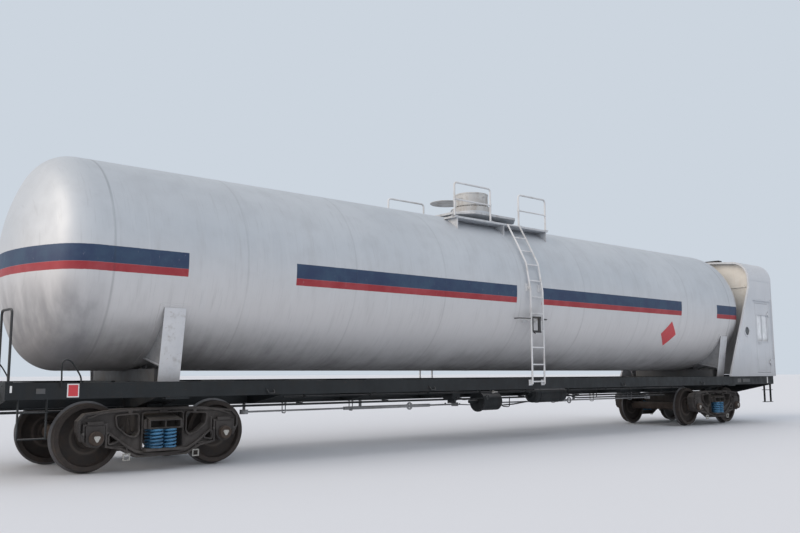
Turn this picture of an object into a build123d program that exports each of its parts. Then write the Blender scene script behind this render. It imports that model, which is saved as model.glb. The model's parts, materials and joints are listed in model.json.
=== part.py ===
from build123d import *
import os
from math import cos, hypot, radians, sin, sqrt

os.makedirs("parts", exist_ok=True)

# Railway tank car with two two-axle bogies and an escort's cabin at its +X end.
# Millimetres. X runs along the car, Y across it, Z up from the lowest point of
# the wheel flanges; X = 0 and Y = 0 are the middle of the car over its couplers.
# Sizes that end in _h are heights above the rail.

# Whole car
frame_length = 18000          # over the end sills
pivot_overhang = 2050         # from a bogie's pivot to the frame's end
running_gap = 5               # between pieces that move past each other
seat_gap = 0.3                # between curved faces that seat on each other
pin_play = 0.05               # radial play of a pin in its bore

# Wheels and axles
tread_radius = 420
flange_height = 27
flange_thickness = 32
back_to_back = 1353           # between the wheels' inner faces
rim_width = 135
rim_depth = 62
wheel_web = 26
web_dish = 52                 # from the wheel's inner face to its web at the rim
hub_radius = 132
hub_width = 178
hub_proud = 28                # how far the hub stands in from the wheel's inner face
axle_radius = 85
seat_radius = 98
journal_radius = 65
journal_centres = 1956
journal_length = 190
end_cap_radius = 88
end_cap_length = 42
end_cap_chamfer = 12

# Bogie side frames
wheelbase = 1750
frame_width = 130             # across the casting
frame_web = 46
frame_flange = 26
frame_top_h = 772
frame_bottom_h = 156
top_fall = 50                 # drop of the top chord to the axle box
horn_width = 88               # of the outer pedestal leg
horn_drop = 40                # of that leg below the axle
foot_drop = 120               # of the inner pedestal leg below the axle
opening_corner = 24
lower_chord = 104             # depth of the frame under the spring window
window_half = 268
window_top_h = 705

# Bearings
bearing_radius = 115
bearing_length = 150
adapter_thickness = 34
pedestal_play = 12

# Springs and bolster
spring_radius = 86
spring_wire = 26
spring_turns = 5
spring_height = 248
spring_pitch_x = 180
spring_pitch_y = 168
spring_seat_plate = 30
bolster_width = 440
bolster_end_depth = 118
bolster_end_wall = 18
bolster_pocket = 170          # depth of the openings in a bolster's end
bolster_mid_depth = 300
bolster_top_h = 705
bolster_overhang = 152        # past a side frame's middle
bowl_radius = 190
bowl_depth = 28
bowl_wall = 20
bowl_floor = 4
side_bearing_y = 760
side_bearing_half = 55
side_bearing_height = 36

# Brake beams
beam_radius = 34
beam_drop = 40                # below the axle
beam_back = 110               # from the tread to the beam
shoe_thickness = 45
shoe_width = 76
shoe_half_height = 150
guide_thickness = 30
strut_radius = 22

# Underframe
sill_half_width = 1450
side_sill_height = 190
side_sill_flange = 78
side_sill_wall = 9
side_sill_top_h = 1105
centre_gap = 326              # between the two webs of the centre sill
centre_web = 14
centre_drop = 40              # of its top below the side sills' top
centre_depth = 310
centre_flange = 74
centre_cover = 12
end_sill_thickness = 16
end_sill_depth = 420
end_sill_waist = 420          # half width of its deep middle
striker_width = 460
striker_height = 340
striker_depth = 60
coupler_slot = 306
coupler_slot_height = 240
body_bolster_width = 380
bolster_wing = 420            # level part of a wing beside the centre sill
bearer_count = 7
bearer_thickness = 14
bearer_wing = 200
deck_width = 300
deck_plate = 8

# Tank
tank_radius = 1430
tank_clearance = 140          # between the tank's lowest line and the side sills' top
shell_inset_a = 1010          # from the frame's -X end to the head's joint
shell_inset_b = 1750          # from the frame's +X end to the head's joint
head_depth = 715
head_knuckle = 486            # small radius where a dished head meets the barrel

# Saddles
saddle_width = 300
saddle_foot_half = 1050
saddle_foot_height = 163
saddle_core_rise = 60         # how far the core reaches up the tank's flank
saddle_lip = 26               # how far a foot laps over the centre sill's flange
leg_plate = 14
leg_foot_y = 1150
leg_top_y = 1292
leg_height = 940
web_heel_y = 463              # lower inner corner of a leg's web
web_heel_rise = 343
web_toe_rise = 193            # lower outer corner, on the leg plate
web_edge_width = 70

# Manway and its guard
dome_x = -168
neck_radius = 300
neck_rise = 203               # top of its flange above the tank's top
neck_flange = 85
cover_radius = 370
cover_thickness = 95
tray_half_x = 850             # eight-sided tray round the neck
tray_half_y = 640
tray_corner = 300
tray_rise = 50
tray_lip = 40
tray_plate = 8
guard_radius = 322
guard_wall = 10
guard_height = 254
guard_lift = 21
guard_foot_half = 20
lid_thickness = 8
lid_overhang = 12
lid_hinge_gap = 34
lid_pin_radius = 8
lid_pin_drop = 22
lid_lug = 24
lid_lug_x = 90
lid_strap = 16
lid_strap_reach = 240

# Valves in the guard
valve_bore = 25
valve_bore_depth = 70
valve_distance = 200
valve_cap_height = 46
valve_base_height = 22
valve_base_lip = 18
valve_table = [
    # angle round the cover, body radius, stem height
    (20, 62, 180),
    (110, 62, 180),
    (200, 62, 180),
    (290, 44, 140),
]

# Walkways
walk_half_length = 1265
walk_centre_x = -290
walk_inner_y = 665
walk_outer_y = 960
walk_drop = 132               # of its top below the tank's top
walk_plate = 35
walk_bracket = 12
walk_bracket_inset = 60
walk_bracket_depth = 130
post_height = 610
post_inset = 40
post_end_inset = 22
rail_radius = 17
knee_rail_radius = 13
rail_bend = 60
gate_x0 = -610
gate_x1 = 170

# Side ladders
ladder_x = -43
ladder_width = 366
ladder_foot_h = 1003
ladder_stand_off = 70         # from the tank's flank to the middle of a stile
ladder_sill_gap = 50          # from the side sill to the middle of a stile
ladder_bar = 34
ladder_bend = 160
rung_radius = 13
rung_step = 303
first_rung = 44
ladder_kinks = [20, 37]       # degrees up the tank's flank where a stile bends
ladder_bracket = 50
ladder_bracket_plate = 16
ladder_bracket_rises = [60, -500]   # from the tank's centre

# Corner steps, handrails and hand brake
step_inset = 149
step_width = 311
step_tread_half = 60
step_hanger_half = 22
step_plate = 12
step_drops = [152, 442]       # of the treads below the side sill
handrail_inset = 45
handrail_outer = 60
handrail_width = 400
handrail_rise = 830
handrail_radius = 15
brake_wheel_y = 520
brake_wheel_radius = 190
brake_wheel_rim = 14
brake_column_radius = 20
brake_column_foot_h = 800
brake_column_top_h = 1700
brake_column_out = 70
brake_bracket_height = 90
brake_bracket_half = 40

# Brake gear under the frame
cylinder_x = -450
cylinder_y = -600
cylinder_h = 690
cylinder_radius = 165
cylinder_length = 480
cylinder_flange = 22
cylinder_flange_length = 36
push_rod_radius = 30
push_rod_length = 220
reservoir_x = 1120
reservoir_y = -700
reservoir_h = 785
reservoir_radius = 150
reservoir_length = 1000
reservoir_dish = 40
hanger_plate = 16
hanger_half = 70
hanger_rise = 90
valve_x = -1280
valve_y = -520
valve_radius = 95
valve_length = 260
pipe_radius = 17
pipe_y = -330
pipe_clip = 40
pipe_clip_plate = 8
pipe_end_inset = 150
rod_y = -230
rod_h = 634
rod_radius = 14
adjuster_radius = 27
adjuster_length = 1900
lever_thickness = 16
lever_half = 32
rod_hanger_half = 30
rod_pivot_reach = 1650        # from a bogie's pivot to the rod's end

# Couplers
coupler_h = 880
coupler_reach = 470           # from the end sill to the coupling face
shank_half = 66
swing_inset = 640             # from the frame's end to the swing pin
swing_pin_radius = 32
swing_pin_length = 240
knuckle_inset = 95            # from the coupling face to the knuckle's pin
knuckle_pin_y = -120
knuckle_pin_radius = 20
knuckle_hub = 62
head_half_height = 165
jaw_wall = 45                 # above and below the knuckle
draft_gear_length = 565
draft_gear_half_height = 130
yoke_half = 90
yoke_rise = 100
yoke_thickness = 50
tail_reach = 60

# Cabin
cabin_half_width = 1520
cabin_length = 1135           # roof and upper walls, from the frame's end
cabin_wall = 45
cabin_wall_height = 2348      # from the frame's top to the eaves
cabin_floor_plate = 35
bulkhead_inset = 135          # from the roof's front edge
shoulder_inset = 466          # end of the rounded eaves, in from the side
shoulder_rise = 465           # and above the eaves
shoulder_mid_inset = 118
shoulder_mid_rise = 333
crown_rise = 65
skirt_reach = 2225            # foot of the sloping side wall, from the frame's end
skirt_top_drop = 194          # where the slope ends, below the eaves
skirt_bend = 270
door_inset = 260              # from the frame's end to the door's rear edge
door_width = 640
door_foot_rise = 95
door_height = 1680
door_gap = 6
hinge_radius = 14
hinge_pin_radius = 7
hinge_offset = 4
hinge_inset = 250             # from the door's top and foot
hinge_knuckle = 60
hinge_leaf = 70
hinge_leaf_thickness = 6
window_margin = 60
window_sill_rise = 753
window_height = 640
pane_thickness = 6
handle_rise = 705
handle_length = 170
handle_bar = 16
handle_out = 50
porthole_x_inset = 1353       # from the frame's end
porthole_rise = 1079
porthole_radius = 100
end_window_half = 300
end_window_rise = 1195
end_window_height = 500

# Derived places
rail = flange_height
axle_z = rail + tread_radius
frame_half = frame_length / 2
frame_inner = frame_half - end_sill_thickness
pivots = {"a": pivot_overhang - frame_half, "b": frame_half - pivot_overhang}
bogie_centres = pivots["b"] - pivots["a"]
side_top_z = rail + side_sill_top_h
side_bottom_z = side_top_z - side_sill_height
centre_top_z = side_top_z - centre_drop
centre_bottom_z = centre_top_z - centre_depth
centre_low_z = centre_bottom_z + centre_web
web_out = centre_gap / 2 + centre_web
flange_out = web_out + centre_flange
tank_z = side_top_z + tank_clearance + tank_radius
tank_top_z = tank_z + tank_radius
shell_start = shell_inset_a - frame_half
shell_end = frame_half - shell_inset_b
coupler_z = rail + coupler_h
BOTTOM = (Align.CENTER, Align.CENTER, Align.MIN)


# Shape helpers
def block(x, y, z):
    """Box from three (low, high) pairs."""
    middle = Pos((x[0] + x[1]) / 2, (y[0] + y[1]) / 2, (z[0] + z[1]) / 2)
    return middle * Box(x[1] - x[0], y[1] - y[0], z[1] - z[0])


def around(middle, half):
    """(low, high) pair about a middle."""
    return (middle - half, middle + half)


def poly(points):
    return make_face(Polyline(*points, close=True))


def across(face, y0, y1):
    """Face drawn as (X, Z), extruded along Y from y0 to y1."""
    plane = Plane(origin=(0, 0, 0), x_dir=(1, 0, 0), z_dir=(0, -1, 0))
    return Pos(0, y0, 0) * extrude(plane * face, -(y1 - y0))


def along(face, x0, x1):
    """Face drawn as (Y, Z), extruded along X from x0 to x1."""
    return Pos(x0, 0, 0) * extrude(Plane.YZ * face, x1 - x0)


def upright(face, z0, z1):
    """Face drawn as (X, Y), extruded along Z from z0 to z1."""
    return Pos(0, 0, z0) * extrude(face, z1 - z0)


def drum(x, y, z, radius, height):
    """Upright cylinder that stands on (x, y, z)."""
    return Pos(x, y, z) * Cylinder(radius, height, align=BOTTOM)


def lying_x(x, y, z, radius, length):
    """Cylinder along X about its middle."""
    return Pos(x, y, z) * Rot(0, 90, 0) * Cylinder(radius, length)


def lying_y(x, y, z, radius, length):
    """Cylinder along Y about its middle."""
    return Pos(x, y, z) * Rot(90, 0, 0) * Cylinder(radius, length)


def rod(a, b, radius):
    """Round bar between two points."""
    a, b = Vector(*a), Vector(*b)
    return Plane(origin=a, z_dir=(b - a).normalized()) * Cylinder(radius, (b - a).length, align=BOTTOM)


def tube_run(points, radius, bend):
    """Bent bar through the points, with one bend radius."""
    path = FilletPolyline(*points, radius=bend)
    return sweep(Plane(origin=path @ 0, z_dir=path % 0) * Circle(radius), path=path)


def tank_room(x0, x1):
    """The tank's barrel with its seat, to be cut from what stands on it."""
    return lying_x((x0 + x1) / 2, 0, tank_z, tank_radius + seat_gap, x1 - x0)


def largest(shape):
    return max(shape.solids(), key=lambda one: one.volume)


def mirror_x(shape):
    return mirror(shape, about=Plane.YZ)


def mirror_y(shape):
    return mirror(shape, about=Plane.XZ)


def both_sides(shape):
    return [shape, mirror_y(shape)]


def node(name, *solids):
    """Write one node: its solids lie apart, or are one solid."""
    flat = []
    for one in solids:
        flat += list(one) if isinstance(one, (list, tuple)) else [one]
    found = [solid for one in flat for solid in one.solids()]
    export_step(found[0] if len(found) == 1 else Compound(children=found), f"parts/{name}.step")


# Wheelsets, drawn about the axle's middle
hub_in = back_to_back / 2 - hub_proud
hub_out = hub_in + hub_width
journal_in = (journal_centres - journal_length) / 2
journal_out = (journal_centres + journal_length) / 2


def axle():
    """Axle with its wheel seats, journals and end caps, about the Y axis."""
    # half profile from the middle outwards: (y, radius)
    half = [
        (hub_in - (seat_radius - axle_radius) * 4, axle_radius),
        (hub_in - (seat_radius - axle_radius), seat_radius),
        (journal_in - (seat_radius - journal_radius), seat_radius),
        (journal_in, journal_radius),
        (journal_out, journal_radius),
        (journal_out, end_cap_radius),
        (journal_out + end_cap_length, end_cap_radius - end_cap_chamfer),
        (journal_out + end_cap_length, 0),
    ]
    full = [(-y, r) for y, r in reversed(half)] + half
    return revolve(Plane.YZ * poly(full), Axis.Y, 360)


def wheel():
    """Rolled wheel of the +Y side: rim with flange, dished web and hub, bored for the axle."""
    inner = back_to_back / 2
    outer = inner + rim_width
    rim_radius = tread_radius - rim_depth
    web_rim = inner + web_dish
    web_hub = hub_in + (hub_width - wheel_web) / 2
    tip = flange_thickness / 3
    # section from the hub's inner edge over the rim and back: (y, radius)
    section = [
        (hub_in, seat_radius),
        (hub_in, hub_radius),
        (web_hub, hub_radius + wheel_web / 2),
        (web_rim, rim_radius - wheel_web / 2),
        (inner, rim_radius),
        (inner, tread_radius + flange_height - tip),
        (inner + tip, tread_radius + flange_height),
        (inner + 2 * tip, tread_radius + flange_height),
        (inner + flange_thickness, tread_radius),
        (outer, tread_radius - (rim_width - flange_thickness) / 20),
        (outer, rim_radius),
        (web_rim + wheel_web, rim_radius - wheel_web / 2),
        (web_hub + wheel_web, hub_radius + wheel_web / 2),
        (hub_out, hub_radius),
        (hub_out, seat_radius),
    ]
    return revolve(Plane.YZ * poly(section), Axis.Y, 360)


# Bogie parts, drawn about the pivot at X = 0
half_base = wheelbase / 2
side_y = journal_centres / 2
jaw_half = bearing_radius + pedestal_play
jaw_roof_z = axle_z + bearing_radius + adapter_thickness + seat_gap
window_low_z = rail + frame_bottom_h + lower_chord
spring_top_z = window_low_z + spring_height


def frame_outline():
    """Outline of a side frame, its right half written once: (x, z)."""
    top = rail + frame_top_h
    low = rail + frame_bottom_h
    jaw_in, jaw_out = half_base - jaw_half, half_base + jaw_half
    right = [
        (0, top),
        (2 * window_half, top),
        (half_base + jaw_half, top - top_fall),
        (jaw_out + horn_width, top - top_fall - horn_width),
        (jaw_out + horn_width, axle_z + horn_width),
        (jaw_out + horn_width / 4, axle_z - horn_drop),
        (jaw_out, axle_z - horn_drop),
        (jaw_out, jaw_roof_z),
        (jaw_in, jaw_roof_z),
        (jaw_in, axle_z - foot_drop),
        (2 * window_half, low + lower_chord),
        (window_half + lower_chord * 2 / 3, low),
    ]
    return poly(right + [(-x, z) for x, z in reversed(right) if x > 0])


def frame_openings():
    """Spring window, and on each side a rounded opening and a small one by the pedestal."""
    top = rail + frame_top_h
    jaw_in = half_base - jaw_half
    post = window_half + 2 * frame_flange
    inside = top - 3 * frame_flange
    large = poly([
        (post + 14, inside),
        (jaw_in - 5 * frame_flange, inside - 14),
        (jaw_in - 6 * frame_flange, axle_z + 5 * frame_flange),
        (window_half + 200, axle_z + frame_flange),
        (post + 50, axle_z),
        (post + 10, axle_z + 2 * frame_flange),
    ])
    small = poly([
        (jaw_in - 165, axle_z - 2 * frame_flange + 4),
        (jaw_in - 2 * frame_flange, axle_z + 35),
        (jaw_in - 2 * frame_flange, axle_z - 75),
    ])
    window_height_z = rail + window_top_h - window_low_z
    window = Pos(0, window_low_z + window_height_z / 2) * RectangleRounded(
        2 * window_half, window_height_z, opening_corner
    )
    rounded = [fillet(one.vertices(), opening_corner * size) for one, size in ((large, 1), (small, 0.5))]
    return [window] + [side for one in rounded for side in (one, mirror(one, about=Plane.YZ))]


def side_frame():
    """Cast frame of the +Y side: web, flange round the outline, collars round the openings."""
    outline = frame_outline()
    openings = frame_openings()
    wide = around(side_y, frame_width / 2)
    body = across(outline, *around(side_y, frame_web / 2))
    body += across(outline - offset(outline, -frame_flange, kind=Kind.INTERSECTION), *wide)
    for hole in openings:
        body += across(offset(hole, frame_flange * 0.75) & outline, *wide)
    seat_half = spring_pitch_y / 2 + spring_radius
    seat_z = (window_low_z - spring_seat_plate, window_low_z)
    body += block(around(0, window_half), around(side_y, seat_half), seat_z)
    for hole in openings:
        body -= across(hole, *around(side_y, frame_width))
    for s in (-1, 1):
        body -= block(around(s * half_base, jaw_half), around(side_y, frame_width), (0, jaw_roof_z))
    return body


def bogie_bolster():
    """Fish-bellied beam through both spring windows, with the pivot's bowl."""
    half = side_y + bolster_overhang
    top = rail + bolster_top_h
    end_top = spring_top_z + bolster_end_depth
    neck = side_y - frame_width / 2 - bolster_end_depth
    belly = top - bolster_mid_depth
    right = [
        (bolster_mid_depth * 1.4, belly), (neck, spring_top_z), (half, spring_top_z),
        (half, end_top), (neck, top),
    ]
    body = along(poly(right + [(-y, z) for y, z in reversed(right)]), -bolster_width / 2, bolster_width / 2)
    bowl = drum(0, 0, top, bowl_radius + bowl_wall, bowl_depth)
    body += bowl - drum(0, 0, top + bowl_floor, bowl_radius, bowl_depth)
    # openings in each end, one each side of a middle rib
    wall = bolster_end_wall
    pocket_z = (spring_top_z + wall, end_top - wall)
    for s in (-1, 1):
        side = around(s * side_bearing_y, side_bearing_half)
        body += block(around(0, bolster_width / 4), side, (top, top + side_bearing_height))
        for x in (-1, 1):
            span = sorted((x * wall / 2, x * (bolster_width / 2 - wall)))
            ends = sorted((s * (half - bolster_pocket), s * (half + wall)))
            body -= block(span, ends, pocket_z)
    return body


def coil_spring(x, y):
    """Coil spring as a sleeve whose outside is drawn in between its turns."""
    pitch = spring_height / spring_turns
    core = spring_radius - spring_wire
    # section: (radius, height)
    section = [(core, 0)]
    for turn in range(spring_turns):
        section += [(spring_radius - spring_wire / 2, turn * pitch), (spring_radius, (turn + 0.5) * pitch)]
    section += [(spring_radius - spring_wire / 2, spring_height), (core, spring_height)]
    return Pos(x, y, window_low_z) * revolve(Plane.XZ * poly(section), Axis.Z, 360)


def spring_group(side):
    columns = [-spring_pitch_x / 2, spring_pitch_x / 2]
    rows = [side * side_y - spring_pitch_y / 2, side * side_y + spring_pitch_y / 2]
    return [coil_spring(x, y) for x in columns for y in rows]


def bearing(x, y):
    """Bearing cup with the adapter that carries the side frame."""
    wide = around(y, bearing_length / 2)
    cup = lying_y(x, y, axle_z, bearing_radius, bearing_length)
    high = (axle_z + adapter_thickness, axle_z + bearing_radius + adapter_thickness)
    body = cup + block(around(x, bearing_radius + pedestal_play / 3), wide, high)
    return body - lying_y(x, y, axle_z, journal_radius + pin_play, 2 * bearing_length)


def brake_beam(s):
    """Beam with a shoe for each wheel, inside the wheels, on side s of the bogie's middle."""
    wheel_x = s * half_base
    shoe_radius = tread_radius + running_gap + 3
    z = axle_z - beam_drop
    shoe_y = (back_to_back + rim_width) / 2 + shoe_width / 6
    tread_x = wheel_x - s * sqrt(shoe_radius**2 - beam_drop**2)
    beam_x = tread_x - s * beam_back
    body = rod((beam_x, -shoe_y - beam_radius, z), (beam_x, shoe_y + beam_radius, z), beam_radius)
    for side in (-1, 1):
        y = side * shoe_y
        ring = lying_y(wheel_x, y, axle_z, shoe_radius + shoe_thickness, shoe_width)
        ring -= lying_y(wheel_x, y, axle_z, shoe_radius, shoe_width)
        reach = sorted((beam_x, tread_x + s * shoe_thickness * 1.4))
        shoe = ring & block(reach, around(y, shoe_width), around(z, shoe_half_height))
        arm_x = sorted((beam_x, tread_x - s * shoe_thickness / 2))
        arm = block(arm_x, around(y, shoe_width * 0.42), around(z, shoe_half_height / 3))
        guide_y = sorted((y, side * (side_y - frame_web / 2)))
        guide = block(around(beam_x, guide_thickness * 2 / 3), guide_y, around(z, guide_thickness / 2))
        body += shoe + arm + guide
    strut_end = s * (bolster_width / 2 + 12)
    return body + rod((beam_x, 0, z), (strut_end, 0, z + beam_drop), strut_radius)


# Underframe
def centre_sill():
    """Two webs under a cover plate, with a flange along each foot."""
    top, low, foot = centre_top_z, centre_low_z, centre_bottom_z
    under = top - centre_cover
    inside = centre_gap / 2
    right = [
        (inside, under), (inside, foot), (flange_out, foot), (flange_out, low),
        (web_out, low), (web_out, under), (flange_out, under), (flange_out, top),
    ]
    return along(poly(right + [(-y, z) for y, z in reversed(right)]), -frame_inner, frame_inner)


def side_sill(side):
    """Channel that opens inwards."""
    y, lip, wall = sill_half_width, side_sill_flange, side_sill_wall
    face = poly([
        (y, side_bottom_z), (y, side_top_z), (y - lip, side_top_z), (y - lip, side_top_z - wall),
        (y - wall, side_top_z - wall), (y - wall, side_bottom_z + wall),
        (y - lip, side_bottom_z + wall), (y - lip, side_bottom_z),
    ])
    body = along(face, -frame_inner, frame_inner)
    return body if side > 0 else mirror_y(body)


def end_sill():
    """Bent plate across the +X end with the coupler's opening and its striker."""
    y, waist = sill_half_width, end_sill_waist
    plate = poly([
        (-y, side_top_z), (-y, side_bottom_z), (-waist, side_top_z - end_sill_depth),
        (waist, side_top_z - end_sill_depth), (y, side_bottom_z), (y, side_top_z),
    ])
    striker = Pos(0, coupler_z) * RectangleRounded(striker_width, striker_height, striker_depth)
    slot = Pos(0, coupler_z) * Rectangle(coupler_slot, coupler_slot_height)
    body = along(plate, frame_inner, frame_half) + along(striker, frame_half, frame_half + striker_depth)
    return body - along(slot, frame_inner - 1, frame_half + striker_depth + 1)


def wing_face(level, outer_y, outer_low):
    """Tapered plate from the centre sill's web out to the side sill: (y, z)."""
    return poly([
        (web_out, centre_low_z), (web_out + level, centre_low_z), (outer_y, outer_low), (outer_y, side_top_z),
        (flange_out, side_top_z), (flange_out, centre_top_z - centre_cover),
        (web_out, centre_top_z - centre_cover),
    ])


def body_bolster(x):
    """Two tapered wings from the centre sill to the side sills, and the centre plate."""
    outer_y = sill_half_width - side_sill_flange - side_sill_wall
    wing = wing_face(bolster_wing, outer_y, side_bottom_z + 2 * side_sill_wall)
    right = along(wing, *around(x, body_bolster_width / 2))
    pad_z = rail + bolster_top_h + side_bearing_height + running_gap + 1
    pad_y = around(side_bearing_y, side_bearing_half)
    pad = block(around(x, bolster_width / 5), pad_y, (pad_z, centre_low_z + 2 * side_bearing_half))
    plate_z = rail + bolster_top_h + bowl_floor
    plate = drum(x, 0, plate_z, bowl_radius - running_gap, centre_bottom_z - plate_z)
    return both_sides(right + pad) + [plate]


def cross_bearer(x):
    face = wing_face(bearer_wing, sill_half_width - side_sill_flange, side_bottom_z + 3 * side_sill_wall)
    return both_sides(along(face, *around(x, bearer_thickness / 2)))


def end_deck():
    """Deck plate on the side sills at the -X end, turned down a little at its inner edge."""
    x0 = -frame_half
    top = (side_top_z, side_top_z + deck_plate)
    body = block((x0, x0 + deck_width), around(0, sill_half_width), top)
    reach = sill_half_width - side_sill_flange - 2 * side_sill_wall
    edge = block((x0 + deck_width - deck_plate, x0 + deck_width), around(0, reach), (centre_top_z, side_top_z))
    return body + edge


# Tank
def tank():
    """Barrel with two dished heads: a knuckle arc, then a crown arc tangent to it."""
    knuckle_y = tank_radius - head_knuckle
    crown = (knuckle_y**2 + head_depth**2 - head_knuckle**2) / (2 * (head_depth - head_knuckle))
    centre_back = crown - head_depth
    reach = crown - head_knuckle
    # unit directions from each arc's centre: along the joint, and halfway to it
    joint = (centre_back / reach, knuckle_y / reach)
    half_crown = Vector(joint[0] + 1, joint[1]).normalized()
    half_knuckle = Vector(joint[0], joint[1] + 1).normalized()

    def head(x0, s):
        def place(back, up, radius, direction):
            return (x0 + s * (back + radius * direction[0]), up + radius * direction[1])

        meet = place(-centre_back, 0, crown, joint)
        on_knuckle = place(0, knuckle_y, head_knuckle, (half_knuckle.X, half_knuckle.Y))
        on_crown = place(-centre_back, 0, crown, (half_crown.X, half_crown.Y))
        return [
            ThreePointArc((x0, tank_radius), on_knuckle, meet),
            ThreePointArc(meet, on_crown, (x0 + s * head_depth, 0)),
        ]

    edges = head(shell_start, -1) + head(shell_end, 1) + [
        Line((shell_start, tank_radius), (shell_end, tank_radius)),
        Line((shell_start - head_depth, 0), (shell_end + head_depth, 0)),
    ]
    return Pos(0, 0, tank_z) * revolve(Plane.XZ * make_face(edges), Axis.X, 360)


def saddle_base(x):
    """Pedestal on the centre sill with a foot on each bolster wing, hollowed to the tank."""
    wide = around(x, saddle_width / 2)
    lap = flange_out - saddle_lip
    foot_z = (side_top_z, side_top_z + saddle_foot_height)
    body = block(wide, around(0, saddle_foot_half), foot_z)
    body += block(wide, around(0, lap), (centre_top_z, tank_z - tank_radius + saddle_core_rise))
    heel_z = side_top_z + web_heel_rise
    shoulder = [
        (lap, foot_z[1]), (web_heel_y, foot_z[1]), (web_heel_y, heel_z), (lap, foot_z[1] + saddle_core_rise),
    ]
    for fin in both_sides(along(poly(shoulder), *around(x, leg_plate))):
        body += fin
    return body - tank_room(x - saddle_width, x + saddle_width)


def saddle_leg(x):
    """Leg plate on the tank's flank with two webs behind it, joined along their lower edge."""
    foot = (leg_foot_y, side_top_z)
    top = (leg_top_y, side_top_z + leg_height)
    lean = (leg_top_y - leg_foot_y) / leg_height
    across_plate = leg_plate * hypot(1, lean)
    plate = poly([foot, (foot[0] + across_plate, foot[1]), (top[0] + across_plate, top[1]), top])
    # the webs' outer corners lie in the middle of the leg plate
    toe = (leg_foot_y + lean * web_toe_rise + across_plate / 2, side_top_z + web_toe_rise)
    heel = (web_heel_y, side_top_z + web_heel_rise)
    web = poly([toe, (top[0] + across_plate / 2, top[1]), (heel[0], top[1]), heel])
    edge = poly([toe, (toe[0], toe[1] + leg_plate), (heel[0], heel[1] + leg_plate), heel])
    body = along(plate, *around(x, saddle_width / 2)) + along(edge, *around(x, saddle_width / 2))
    for s in (-1, 1):
        body += along(web, *around(x + s * (saddle_width - web_edge_width) / 2, leg_plate / 2))
    return largest(body - tank_room(x - saddle_width, x + saddle_width))


# Manway, guard and valves
neck_top_z = tank_top_z + neck_rise
cover_top_z = neck_top_z + cover_thickness
guard_low_z = cover_top_z + guard_lift
guard_top_z = guard_low_z + guard_height
lid_pin_y = guard_radius + lid_hinge_gap
lid_pin_z = guard_top_z - lid_pin_drop


def manway_neck():
    """Neck that stands in the tank's top, with its bolting flange."""
    root = tank_z + sqrt(tank_radius**2 - neck_radius**2)
    body = drum(dome_x, 0, root - neck_radius / 10, neck_radius, neck_top_z - root)
    body += drum(dome_x, 0, neck_top_z - neck_flange, cover_radius, neck_flange)
    return body - tank_room(dome_x - 2 * neck_radius, dome_x + 2 * neck_radius)


def manway_cover():
    return drum(dome_x, 0, neck_top_z, cover_radius, cover_thickness)


def guard():
    """Open cylinder round the valves, on four feet, with the lid's hinge lugs."""
    bore = drum(dome_x, 0, guard_low_z, guard_radius - guard_wall, guard_height)
    ring = drum(dome_x, 0, guard_low_z, guard_radius, guard_height)
    for s in (-1, 1):
        lug_y = (guard_radius - lid_lug, lid_pin_y + lid_lug * 3 / 4)
        lug_z = (guard_top_z - 3 * lid_lug, guard_top_z - lid_lug / 6)
        ring += block(around(dome_x + s * lid_lug_x, lid_lug / 2), lug_y, lug_z)
    ring -= bore
    for quarter in range(4):
        foot_x = (guard_radius - 4 * guard_wall, guard_radius - guard_wall / 5)
        foot = block(foot_x, around(0, guard_foot_half), (cover_top_z, guard_low_z + 3 * guard_lift))
        ring += Pos(dome_x, 0, 0) * Rot(0, 0, 45 + 90 * quarter) * foot
    return ring - lying_x(dome_x, lid_pin_y, lid_pin_z, lid_pin_radius + pin_play, 4 * lid_lug_x)


def guard_lid():
    """Flat lid laid open behind the guard, with its two hinge straps and their pin."""
    top = lid_pin_z - (guard_top_z + 4 - lid_pin_z)
    low = top - lid_thickness
    middle_y = lid_pin_y + lid_hinge_gap + guard_radius
    body = drum(dome_x, middle_y, low, guard_radius + lid_overhang, lid_thickness)
    outer = lid_lug_x + lid_lug / 2 + running_gap + lid_strap
    for s in (-1, 1):
        strap_x = around(dome_x + s * (outer - lid_strap / 2), lid_strap / 2)
        strap_y = (lid_pin_y - 2 * lid_pin_radius, lid_pin_y + 2 * lid_pin_radius)
        body += block(strap_x, strap_y, (low - 6, lid_pin_z + 2 * lid_pin_radius))
        body += block(strap_x, (lid_pin_y, lid_pin_y + lid_strap_reach), (low - 6, top - 1))
    return body + lying_x(dome_x, lid_pin_y, lid_pin_z, lid_pin_radius, 2 * (outer + lid_pin_radius))


def valves():
    out = []
    for angle, radius, height in valve_table:
        x = dome_x + valve_distance * cos(radians(angle))
        y = valve_distance * sin(radians(angle))
        cap_z = cover_top_z + height
        body = drum(x, y, cover_top_z, radius + valve_base_lip, valve_base_height)
        body += drum(x, y, cover_top_z, radius * 0.6, height)
        body += drum(x, y, cap_z, radius, valve_cap_height)
        bore_z = cap_z + valve_cap_height - valve_bore_depth
        out.append(body - drum(x, y, bore_z, valve_bore, valve_bore_depth + 1))
    return out


def neck_tray():
    """Eight-sided tray round the manway neck, with a turned-up edge."""
    x, y, c = tray_half_x, tray_half_y, tray_corner
    quarter = [(x, y - c), (x - c, y)]
    left = [(-a, b) for a, b in reversed(quarter)]
    upper = quarter + left
    outline = poly(upper + [(a, -b) for a, b in reversed(upper)])
    low = tank_top_z + tray_rise
    body = upright(outline - offset(outline, -tray_plate, kind=Kind.INTERSECTION), low, low + tray_lip)
    body += upright(outline, low, low + tray_plate)
    return Pos(dome_x, 0, 0) * (body - drum(0, 0, low - 1, neck_radius + seat_gap, tray_lip + 2))


# Walkways
walk_top_z = tank_top_z - walk_drop
walk_x0 = walk_centre_x - walk_half_length
walk_x1 = walk_centre_x + walk_half_length
post_y = walk_outer_y - post_inset


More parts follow.
